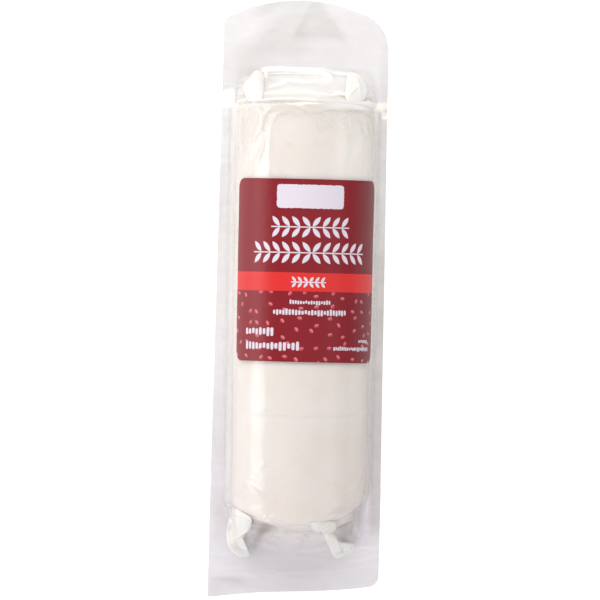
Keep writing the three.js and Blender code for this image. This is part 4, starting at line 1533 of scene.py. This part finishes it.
@dataclass
class CheeseLog:
    """The log itself, just inside the film, and squeezed a little way into both pockets."""

    form: PackForm
    folds: FilmFolds
    name: str = "cheese_log"
    around: int = 180
    clearance: float = 0.32
    follow: float = 0.55
    squeezed_tab: float = 0.27
    squeezed_foot: float = 0.22
    unevenness: float = 0.12
    grain: float = 7.0
    closing: tuple[float, ...] = (0.98, 0.94, 0.86, 0.75, 0.6, 0.4, 0.2, 0.0)
    blunt: float = 0.4

    def build(self, material: bpy.types.Material) -> bpy.types.Object:
        """Models the log.

        Args:
            material: The cheese's finish.

        Returns:
            The piece.
        """
        turn = np.linspace(0, 2 * math.pi, self.around + 1)
        angle = np.where(turn <= math.pi, turn, 2 * math.pi - turn)
        facing = np.where(turn <= math.pi, 1.0, -1.0)
        everywhere = np.ones_like(turn, bool)
        columns = Columns(everywhere, np.cos(angle), np.sin(angle), 1 - 2 * angle / math.pi, 0 * turn)
        points = []
        for row, scale, recess in self.rows():
            x, y, rise, _ = self.form.film_row(row, columns)
            middle = self.form.offset(y)
            shrink = (1 - self.clearance / self.form.radius_foot) * scale
            side = row.end.sign if row.end else 0
            x = middle + (x - middle) * shrink
            z = np.maximum(self.form.axis_height + facing * rise * shrink, self.clearance)
            z = blend(self.form.axis_height, z, scale**0.2) if scale < 1 else z
            points.append(np.stack([x, y - side * (self.clearance + recess), z], axis=1))
        grid = np.array(points)
        piece, (row, column, _) = Bench.grid(self.name, *grid.shape[:2], thick=False)
        Bench.place(piece, (grid + self.surface(grid))[row, column])
        Bench.close(piece, merge=0.02)
        Bench.settle(piece, material, Slot.CHEESE)
        return piece

    def end_rows(self, end: LogEnd, squeezed: float) -> list[tuple[Row, float, float]]:
        """The rows of one end.

        Args:
            end: The end of the log.
            squeezed: How far down its pocket the cheese is squeezed.

        Returns:
            The rows from the rim to the pole, each with its scale and how far it is set back.
        """
        turned = np.linspace(0, 1 - self.form.contact_share, 6)[:-1]
        rows = [(Row(end=end, turned=float(s)), 1.0, 0.0) for s in turned]
        rows += [(Row(end=end, sunk=float(s)), 1.0, 0.0) for s in np.linspace(0, squeezed, 14)]
        return rows + [(Row(end=end, sunk=squeezed), s, self.blunt * (1 - s)) for s in self.closing]

    def rows(self) -> list[tuple[Row, float, float]]:
        """The rows from the tab's pole to the foot's, each with its scale and how far it is set back."""
        body = [(Row(body=float(s)), 1.0, 0.0) for s in np.linspace(0, 1, 220)[1:-1]]
        tab = self.end_rows(self.form.tab, self.squeezed_tab)
        return tab[::-1] + body + self.end_rows(self.form.foot, self.squeezed_foot)

    def surface(self, grid: np.ndarray) -> np.ndarray:
        """Small hollows, and the film's folds pressed into the front.

        Args:
            grid: The log's plain form, by row and column.

        Returns:
            How far each point moves.
        """
        flat = grid.reshape(-1, 3)
        x, y, z = flat.T
        outward = flat - np.stack([self.form.offset(y), y, 0 * x + self.form.axis_height], axis=1)
        outward = outward / np.maximum(np.linalg.norm(outward, axis=1, keepdims=True), 1e-6)
        front = smooth(self.form.axis_height + 1, self.form.axis_height + 6, z)
        pressed = self.follow * self.folds.relief(x, y) * front
        wobble = self.unevenness * (field_noise(flat / self.grain, 1.3) - 0.6) * (z > 2)
        return (outward * (pressed + wobble)[:, None]).reshape(grid.shape)


@dataclass(frozen=True)
class EarStation:
    """One place along an ear: across, past the rim, its proud height, width, depth and roll."""

    x: float
    past: float
    proud: float
    width: float
    depth: float
    roll: float


@dataclass
class PocketEar:
    """A gathered fold of film full of cheese, at one corner of a pocket."""

    form: PackForm
    name: str
    end: LogEnd
    face: int
    stations: tuple[EarStation, ...]
    seed: float
    around: int = 26
    steps: int = 64
    edge_power: float = 1.35
    crumple: float = 0.34
    facets: Point = (2.6, 1.1)

    def build(self, material: bpy.types.Material) -> bpy.types.Object:
        """Models the ear as a flattened roll that turns as it goes.

        Args:
            material: The finish of cheese under tight film.

        Returns:
            The piece.
        """
        spine = curve_through([self.spot(s) for s in self.stations], self.steps)
        sizes = curve_through([(s.width, s.depth, s.roll) for s in self.stations], self.steps)
        forward = np.gradient(spine, axis=0)
        forward = forward / np.linalg.norm(forward, axis=1, keepdims=True)
        sideways = np.cross(np.array([0.0, 0.0, 1.0]), forward)
        sideways = sideways / np.linalg.norm(sideways, axis=1, keepdims=True)
        upward = np.cross(forward, sideways)
        roll = np.radians(sizes[:, 2])[:, None]
        across = sideways * np.cos(roll) + upward * np.sin(roll)
        above = upward * np.cos(roll) - sideways * np.sin(roll)
        share = np.linspace(0, 1, self.steps)
        ending = np.sqrt(np.clip(1 - np.abs(2 * share - 1) ** 7, 0, 1))
        turn = np.linspace(0, 2 * math.pi, self.around + 1)
        power = self.edge_power
        bulge = (np.abs(np.cos(turn)) ** power + np.abs(np.sin(turn)) ** power) ** (-1 / power)
        wide = (sizes[:, 0] * ending / 2)[:, None] * bulge * np.cos(turn)
        deep = (sizes[:, 1] * ending / 2)[:, None] * bulge * np.sin(turn)
        grid = spine[:, None] + across[:, None] * wide[..., None] + above[:, None] * deep[..., None]
        coarse, fine = (facet_noise(grid.reshape(-1, 3) / size, self.seed) for size in self.facets)
        rough = (coarse + 0.4 * fine).reshape(grid.shape[:2])
        outward = grid - spine[:, None]
        outward = outward / np.maximum(np.linalg.norm(outward, axis=2, keepdims=True), 1e-6)
        grid = grid + outward * (2 * self.crumple * rough * ending[:, None])[..., None]
        piece, (row, column, _) = Bench.grid(self.name, *grid.shape[:2], thick=False)
        Bench.place(piece, grid[row, column])
        Bench.close(piece, merge=0.02)
        Bench.settle(piece, material, Slot.CHEESE)
        return piece

    def spot(self, station: EarStation) -> tuple[float, float, float]:
        """Where a station lies."""
        rise = float(self.form.pocket_rise(self.end, station.x, station.past)) + station.proud
        rim = self.form.rim_line(self.end, station.x)
        return station.x, self.end.sign * (rim + station.past), self.form.axis_height + self.face * rise


@dataclass
class Gather:
    """A bulge of film and cheese at one corner of a pocket, drawn by its outline and its folds."""

    form: PackForm
    name: str
    end: LogEnd
    outline: tuple[Point, ...]
    proud: float
    ridges: tuple[Ridge, ...]
    clear: tuple[tuple[float, float, float], ...]
    seed: float
    hollow: float = 1.05
    rings: int = 34
    around: int = 110
    inset: float = 1.4
    crumple: float = 0.3
    facet: float = 2.1

    def build(self, material: bpy.types.Material) -> bpy.types.Object:
        """Models the bulge from rings that close at a pole above and one below.

        Args:
            material: The finish of cheese under tight film.

        Returns:
            The piece.
        """
        closed = (self.outline[-1], *self.outline, self.outline[0], self.outline[1])
        loop = curve_through(closed, (len(closed) - 1) * 40)[40:-40]
        loop = loop[np.linspace(0, len(loop) - 1, self.around + 1).astype(int)]
        loop[-1] = loop[0]
        middle = loop[:-1].mean(0)
        out = np.linspace(0, 1, self.rings) ** 0.8
        share = np.concatenate([out, out[-2::-1]])
        top = np.arange(len(share)) < self.rings
        flat = middle + share[:, None, None] * (loop - middle)
        x, y = flat[..., 0], flat[..., 1]
        past = np.abs(y) - self.form.rim_line(self.end, x)
        base = self.form.pocket_rise(self.end, x, past)
        bulge = self.form.pocket_rise(self.end, x, past, self.hollow) - base
        dome = ((1 - share**3) ** 0.8)[:, None]
        lifted = sum(ridge.at(x, y) for ridge in self.ridges)
        rough = facet_noise(grains(x, y, self.facet, self.facet), self.seed)
        lifted = (lifted + self.crumple * rough.reshape(x.shape)) * dome
        above = base + (bulge + self.proud) * dome + lifted
        under = base - self.inset * (1 - share[:, None] ** 2)
        height = np.where(top[:, None], above, under)
        grid = np.stack([x, y, self.form.axis_height + height], axis=-1)
        piece, (row, column, _) = Bench.grid(self.name, *x.shape, thick=False)
        Bench.place(piece, grid[row, column])
        Bench.attribute(piece, "clear", self.clearness(x, y)[row, column])
        Bench.close(piece, merge=0.02)
        Bench.settle(piece, material, Slot.CHEESE)
        return piece

    def clearness(self, x: np.ndarray, y: np.ndarray) -> np.ndarray:
        """Where there is only folded film and no cheese under it: round spots with soft edges."""
        spots = [np.exp(-(((x - cx) ** 2 + (y - cy) ** 2) / r**2) ** 2) for cx, cy, r in self.clear]
        return np.clip(sum(spots, start=0 * x), 0, 1)


@dataclass
class Label:
    """The printed label, bent round the front of the log."""

    form: PackForm
    name: str = "printed_label"
    width: float = 59.5
    length: float = 63.5
    top: float = 42.0
    turn: float = 6.2
    corner: float = 3.3
    thickness: float = 0.13
    clearance: float = 0.09
    unevenness: float = 0.07
    grain: Point = (21.0, 17.0)

    def build(self, material: bpy.types.Material) -> bpy.types.Object:
        """Models the label from a grid that is bent and thickened.

        Args:
            material: The print.

        Returns:
            The piece.
        """
        corner = (1 - np.cos(np.linspace(0, math.pi / 2, 9))) * self.corner
        straight = np.linspace(self.corner, self.length - self.corner, 40)[1:-1]
        downs = np.concatenate([corner, straight, self.length - corner[::-1]])
        inset = np.minimum(downs, self.length - downs)
        half = self.form.rounded(np.full_like(downs, self.width / 2), inset, self.corner)
        aside = half[:, None] * np.linspace(-1, 1, 97)[None, :]
        y = np.broadcast_to((self.top - downs)[:, None], aside.shape)
        radius = self.form.radius(y) + self.form.thickness / 2 + self.clearance
        uneven = field_noise(grains(aside, y, *self.grain), 6.6).reshape(aside.shape)
        radius = radius + self.unevenness * (uneven + 0.5)
        turn = math.radians(self.turn) + aside / self.form.radius(y)
        grid = np.stack([self.form.offset(y) + radius * np.sin(turn), y,
                         self.form.axis_height + radius * np.cos(turn)], axis=-1)
        piece, (row, column, _) = Bench.grid(self.name, *aside.shape, thick=False)
        Bench.place(piece, grid[row, column])
        self.map_print(piece, (aside + self.width / 2)[row, column], downs[row])
        Bench.pick(piece)
        thicken = piece.modifiers.new("thickness", "SOLIDIFY")
        thicken.thickness = self.thickness * MM
        thicken.offset = 1.0
        bpy.ops.object.modifier_apply(modifier=thicken.name)
        Bench.close(piece, crisp=60.0)
        Bench.settle(piece, material, Slot.LABEL, "label")
        return piece

    @staticmethod
    def map_print(piece: bpy.types.Object, across: np.ndarray, down: np.ndarray) -> None:
        """Gives the label a map in millimetres from its top left corner."""
        layer = piece.data.uv_layers.new(name="label_mm")
        corners = np.empty(len(piece.data.loops), int)
        piece.data.loops.foreach_get("vertex_index", corners)
        layer.data.foreach_set("uv", np.stack([across, down], axis=1)[corners].astype(np.float32).ravel())


@dataclass(frozen=True)
class Lobe:
    """A soft patch of the room's light: which way it lies, and how bright it is low down and half-way up."""

    way: Point
    low: float
    half_way: float


@dataclass
class Studio:
    """The table, the soft lights and the camera."""

    form: PackForm
    image_pixels: int = 600
    pixel_size: float = 0.35
    lean: float = 1.4
    camera_distance: float = 2500.0
    sensor: float = 36.0
    key_distance: float = 2000.0
    key_elevation: float = 31.2
    key_foot: float = 5.5
    key_length: float = 290.0
    key_radiance: float = 2.2
    end_distance: float = 600.0
    end_aside: float = -35.0
    end_elevation: float = 44.0
    end_size: Point = (630.0, 410.0)
    end_radiance: float = 5.3
    lobes: tuple[Lobe, ...] = (Lobe((-1, 0), 1.65, 0.33), Lobe((1, 0), 0.36, 0.9), Lobe((0, -1), 0.6, 1.25))
    overhead: float = 0.58
    base: float = 0.03
    colour: Colour = (1.0, 0.995, 0.985)

    def build(self) -> None:
        """Sets up the table, the lights and the camera."""
        self.table()
        low, top = (self.key_distance * math.tan(math.radians(angle)) + self.form.axis_height
                    for angle in (self.key_foot, self.key_elevation))
        middle = (top + low) / 2
        self.soft_box("key", Vector((-self.key_distance, 0, middle)), Vector((0, 0, middle)),
                      (self.key_length, top - low), self.key_radiance)
        rise = self.end_distance * math.tan(math.radians(self.end_elevation))
        self.soft_box("end", Vector((self.end_aside, self.end_distance, rise)), Vector((0, 0, 0)),
                      self.end_size, self.end_radiance)
        self.surroundings()
        self.camera()
        view = bpy.context.scene.view_settings
        view.view_transform = "Standard"
        view.look = "None"

    def table(self) -> None:
        """Adds the plain pale tabletop."""
        Bench.clear()
        bpy.ops.mesh.primitive_plane_add(size=6.0)
        table = bpy.context.object
        table.name = "table"
        table.data.materials.append(FloorFinish().material())

    def soft_box(self, name: str, at: Vector, target: Vector, size: Point, radiance: float) -> None:
        """Adds a soft box, which the film mirrors.

        Args:
            name: The light's name.
            at: Where it stands.
            target: The place that it faces.
            size: Its width, level with the table, and its height.
            radiance: How bright it looks.
        """
        data = bpy.data.lights.new(name, "AREA")
        data.shape = "RECTANGLE"
        data.size, data.size_y = size[0] * MM, size[1] * MM
        data.energy = radiance * math.pi * data.size * data.size_y
        light = bpy.data.objects.new(name, data)
        bpy.context.scene.collection.objects.link(light)
        light.location = at * MM
        light.rotation_euler = (at - target).to_track_quat("Z", "Y").to_euler()

    def surroundings(self) -> None:
        """Lights the room softly by a few lobes and a dimmer patch overhead."""
        world = bpy.data.worlds.new("room")
        world.use_nodes = True
        world.node_tree.nodes.clear()
        tree = Tree(world.node_tree)
        way = tree.node("ShaderNodeTexCoord").outputs["Generated"]
        _, _, up = tree.parts(way)
        lit = self.base
        for lobe in self.lobes:
            within = tree.span(tree.vector("DOT_PRODUCT", way, (*lobe.way, 0.0)), 0.1, 0.85)
            strength = tree.span(up, 0.35, 0.55, lobe.low, lobe.half_way)
            lit = tree.math("MULTIPLY_ADD", within, strength, lit)
        lit = tree.math("MULTIPLY", lit, tree.span(up, -0.3, 0.05, 0.6, 1.0))
        cap = tree.span(up, 0.75, 0.9)
        lit = tree.math("MULTIPLY", lit, tree.math("SUBTRACT", 1.0, cap))
        lit = tree.math("MULTIPLY_ADD", cap, self.overhead, lit)
        background = tree.give(tree.node("ShaderNodeBackground"), color=self.colour, strength=lit)
        tree.output("ShaderNodeOutputWorld", background.outputs[0])
        bpy.context.scene.world = world

    def camera(self) -> None:
        """Looks straight down on the label, turned so that the pack leans as in the photo."""
        data = bpy.data.cameras.new("camera")
        data.sensor_width = self.sensor
        data.lens = self.sensor * self.camera_distance / (self.image_pixels * self.pixel_size)
        data.clip_end = 20.0
        camera = bpy.data.objects.new("camera", data)
        bpy.context.scene.collection.objects.link(camera)
        camera.location = (0, 0, (self.form.axis_height + self.camera_distance) * MM)
        camera.rotation_euler = (0, 0, math.radians(self.lean))
        bpy.context.scene.camera = camera


def front_gathers(form: PackForm) -> list[Gather]:
    """The bulges that the photo shows at the corners of the pockets.

    Args:
        form: The pack's form.

    Returns:
        The bulges, not yet modelled.
    """
    return [
        Gather(form, "gather_tab_left", form.tab, pairs(
            -16.9, 80.2, -15.0, 79.2, -14.2, 76.5, -14.2, 74.0, -14.5, 71.0, -15.2, 69.0, -17.3, 68.2,
            -19.6, 68.6, -21.0, 71.2, -21.9, 74.0, -21.2, 75.9, -19.8, 77.2, -18.6, 79.2), 1.3, drawn(
            (ROLL, 0.9, -1.0, -20.9, 75.2, -18.6, 75.6, -16.4, 74.2, -14.6, 73.4),
            (FOLD, 0.9, 0.8, -18.2, 79.0, -17.4, 77.4, -15.2, 75.6),
            (FOLD, 0.8, 0.9, -21.0, 74.2, -19.4, 73.6, -17.4, 72.2, -16.2, 70.0),
            (FOLD, 0.5, 0.8, -21.2, 73.0, -20.3, 71.0, -19.4, 69.2),
            (CREASE, 0.7, 0.6, -18.6, 71.6, -18.2, 69.6)),
            (), 1.0),
        Gather(form, "gather_tab_right", form.tab, pairs(
            15.6, 80.4, 18.3, 79.7, 20.6, 77.5, 21.9, 75.0, 21.9, 72.5, 20.4, 70.0, 17.9, 69.2, 14.9, 69.4,
            13.7, 71.6, 13.9, 74.9, 14.3, 77.9, 14.8, 79.8), 1.3, drawn(
            (FOLD, 0.9, 1.3, 15.9, 80.0, 18.0, 77.6, 18.9, 75.2, 19.4, 72.4),
            (FOLD, 0.7, 0.9, 14.2, 70.2, 16.2, 72.4, 18.6, 75.2),
            (CREASE, 0.8, 0.4, 15.2, 71.0, 17.4, 73.2, 18.4, 74.0),
            (CREASE, 0.8, 0.6, 21.2, 76.6, 20.4, 74.0, 20.2, 71.4)),
            ((20.4, 72.6, 2.0), (19.8, 75.4, 1.2)), 2.0),
        Gather(form, "gather_foot_left", form.foot, pairs(
            -21.9, -72.4, -19.0, -73.8, -15.2, -76.0, -14.9, -78.7, -15.3, -80.8, -17.0, -82.6,
            -17.4, -84.2, -16.4, -86.3, -15.6, -88.6, -15.3, -90.2, -18.3, -90.8, -21.2, -89.3,
            -23.0, -87.1, -23.8, -83.3, -23.6, -80.0, -23.1, -76.5), 1.3, drawn(
            (FOLD, 0.8, 0.9, -21.6, -74.8, -20.6, -78.2, -20.4, -81.0, -21.4, -83.6),
            (FOLD, 0.7, 1.1, -15.3, -78.4, -16.4, -80.8, -19.2, -83.2, -21.2, -84.2),
            (CREASE, 0.5, 0.7, -22.9, -81.4, -22.3, -79.4),
            (FOLD, 0.8, 1.1, -22.8, -84.0, -22.2, -87.0, -20.2, -89.2, -17.4, -90.0),
            (CREASE, 1.3, 0.8, -20.4, -84.8, -19.4, -86.6, -18.4, -88.2),
            (FOLD, 0.6, 0.8, -17.9, -84.4, -17.0, -86.6, -16.4, -88.8)),
            ((-17.2, -85.6, 2.2), (-17.8, -88.4, 2.6), (-19.6, -90.0, 1.8)), 3.0),
        Gather(form, "gather_foot_knot", form.foot, pairs(
            5.6, -77.4, 8.0, -76.3, 10.4, -76.5, 12.6, -76.3, 14.6, -77.4, 14.4, -80.2, 12.4, -81.6,
            10.4, -82.2, 9.6, -80.8, 7.6, -80.6, 6.2, -79.4), 0.8, drawn(
            (FOLD, 0.5, 0.9, 7.0, -79.8, 8.0, -78.4, 9.4, -77.8),
            (FOLD, 0.5, 0.8, 9.2, -81.0, 9.8, -79.4, 11.4, -78.2),
            (CREASE, 0.6, 0.8, 11.0, -81.4, 12.2, -80.0, 14.0, -79.2)),
            ((7.2, -79.6, 1.6),), 5.0, rings=22, around=70),
        Gather(form, "gather_foot_right", form.foot, pairs(
            10.4, -80.6, 12.6, -80.2, 14.6, -81.8, 16.2, -83.8, 18.6, -84.2, 21.0, -84.9, 20.9, -86.5,
            19.2, -88.4, 17.3, -89.6, 15.6, -90.3, 14.2, -89.6, 12.6, -87.2, 11.2, -84.4,
            10.2, -82.2), 1.2, drawn(
            (FOLD, 0.8, 1.2, 10.9, -81.2, 12.2, -84.6, 13.9, -88.0, 15.2, -89.8),
            (FOLD, 0.6, 0.9, 12.6, -81.6, 14.6, -83.4, 15.8, -85.6, 16.6, -88.6),
            (CREASE, 0.8, 1.5, 16.9, -84.6, 17.0, -86.4, 16.6, -88.0),
            (FOLD, 0.6, 0.9, 17.8, -84.8, 19.6, -85.6, 19.2, -87.4, 17.4, -89.0)),
            ((17.6, -86.6, 2.3), (20.0, -86.0, 2.2), (15.6, -84.2, 1.3), (13.8, -87.2, 2.4)), 4.0),
    ]


def back_gather(form: PackForm, name: str, end: LogEnd, start: float, width: float, places: tuple[float, ...],
                rolls: tuple[float, ...], seed: float) -> PocketEar:
    """A gathered fold behind, one of four of the same build.

    Args:
        form: The pack's form.
        name: The piece's name.
        end: The end of the log.
        start: How far past the rim it starts.
        width: Its greatest width.
        places: Where its stations lie across.
        rolls: How far they roll, in degrees.
        seed: Moves its crumples, so that each fold differs.

    Returns:
        The fold, not yet modelled.
    """
    stations = zip(places, (start, 2.6, 7.4, 12.2), (0.3, 1.0, 1.0, 0.3), (4.0, width, width - 0.8, 3.0),
                   (2.2, 3.8, 3.6, 1.4), rolls)
    return PocketEar(form, name, end, -1, tuple(EarStation(*station) for station in stations), seed)


def swept_rolls(form: PackForm) -> list[PocketEar]:
    """The roll along the tab's rim, and the gathered folds behind.

    Args:
        form: The pack's form.

    Returns:
        The rolls, not yet modelled.
    """
    at, tab, foot = EarStation, form.tab, form.foot
    return [
        PocketEar(form, "rim_roll", tab, 1, (
            at(-21.6, -0.6, 0.0, 0.8, 0.8, 0), at(-13.4, -0.2, 0.2, 1.1, 1.0, 0),
            at(-6.0, 0.0, 0.3, 1.3, 1.2, 0), at(2.0, -0.3, 0.2, 1.7, 1.2, 0),
            at(10.0, -0.6, 0.1, 2.0, 1.3, 0), at(16.0, -0.8, 0.1, 2.3, 1.5, 0),
            at(20.6, -0.9, 0.5, 3.2, 2.2, 0), at(23.0, -0.9, 0.8, 3.9, 2.9, 0),
            at(24.6, -0.9, 0.3, 2.8, 2.3, 0)),
            9.0, crumple=0.12),
        *(back_gather(form, *fold) for fold in (
            ("gather_foot_left_back", foot, -1.4, 6.4, (-18.2, -19.0, -18.8, -16.8), (0, -20, -40, -45), 5.0),
            ("gather_foot_right_back", foot, -1.4, 6.2, (17.2, 17.8, 17.8, 17.0), (0, 25, 40, 45), 6.0),
            ("gather_tab_left_back", tab, -1.2, 6.2, (-18.4, -18.8, -18.4, -16.4), (0, 20, 40, 40), 7.0),
            ("gather_tab_right_back", tab, -1.2, 6.4, (18.4, 18.8, 18.4, 16.4), (0, -25, -45, -50), 8.0),
        )),
    ]


def main() -> None:
    """Builds and dresses the pack, then sets up the studio."""
    logging.basicConfig(level=logging.INFO, format="%(message)s")
    form = PackForm()
    folds = FilmFolds(form)
    Groups.build()
    CheeseLog(form, folds).build(CheeseFinish().material())
    FilmPack(form, folds).build(FilmFinish().material())
    glossed = CheeseFinish(
        name="cheese_in_tight_film", light=(0.865, 0.83, 0.795), warm=(0.855, 0.815, 0.755),
        gloss_coat=1.0, softness=0.1).material()
    rolled = CheeseFinish(
        name="film_rolled_on_the_rim", light=(0.84, 0.81, 0.8), warm=(0.83, 0.795, 0.775),
        gloss_coat=1.0, softness=0.1).material()
    roll, *backs = swept_rolls(form)
    roll.build(rolled)
    for gathered in (*front_gathers(form), *backs):
        gathered.build(glossed)
    Label(form).build(LabelFinish().material())
    Studio(form).build()


if __name__ == "__main__":
    main()
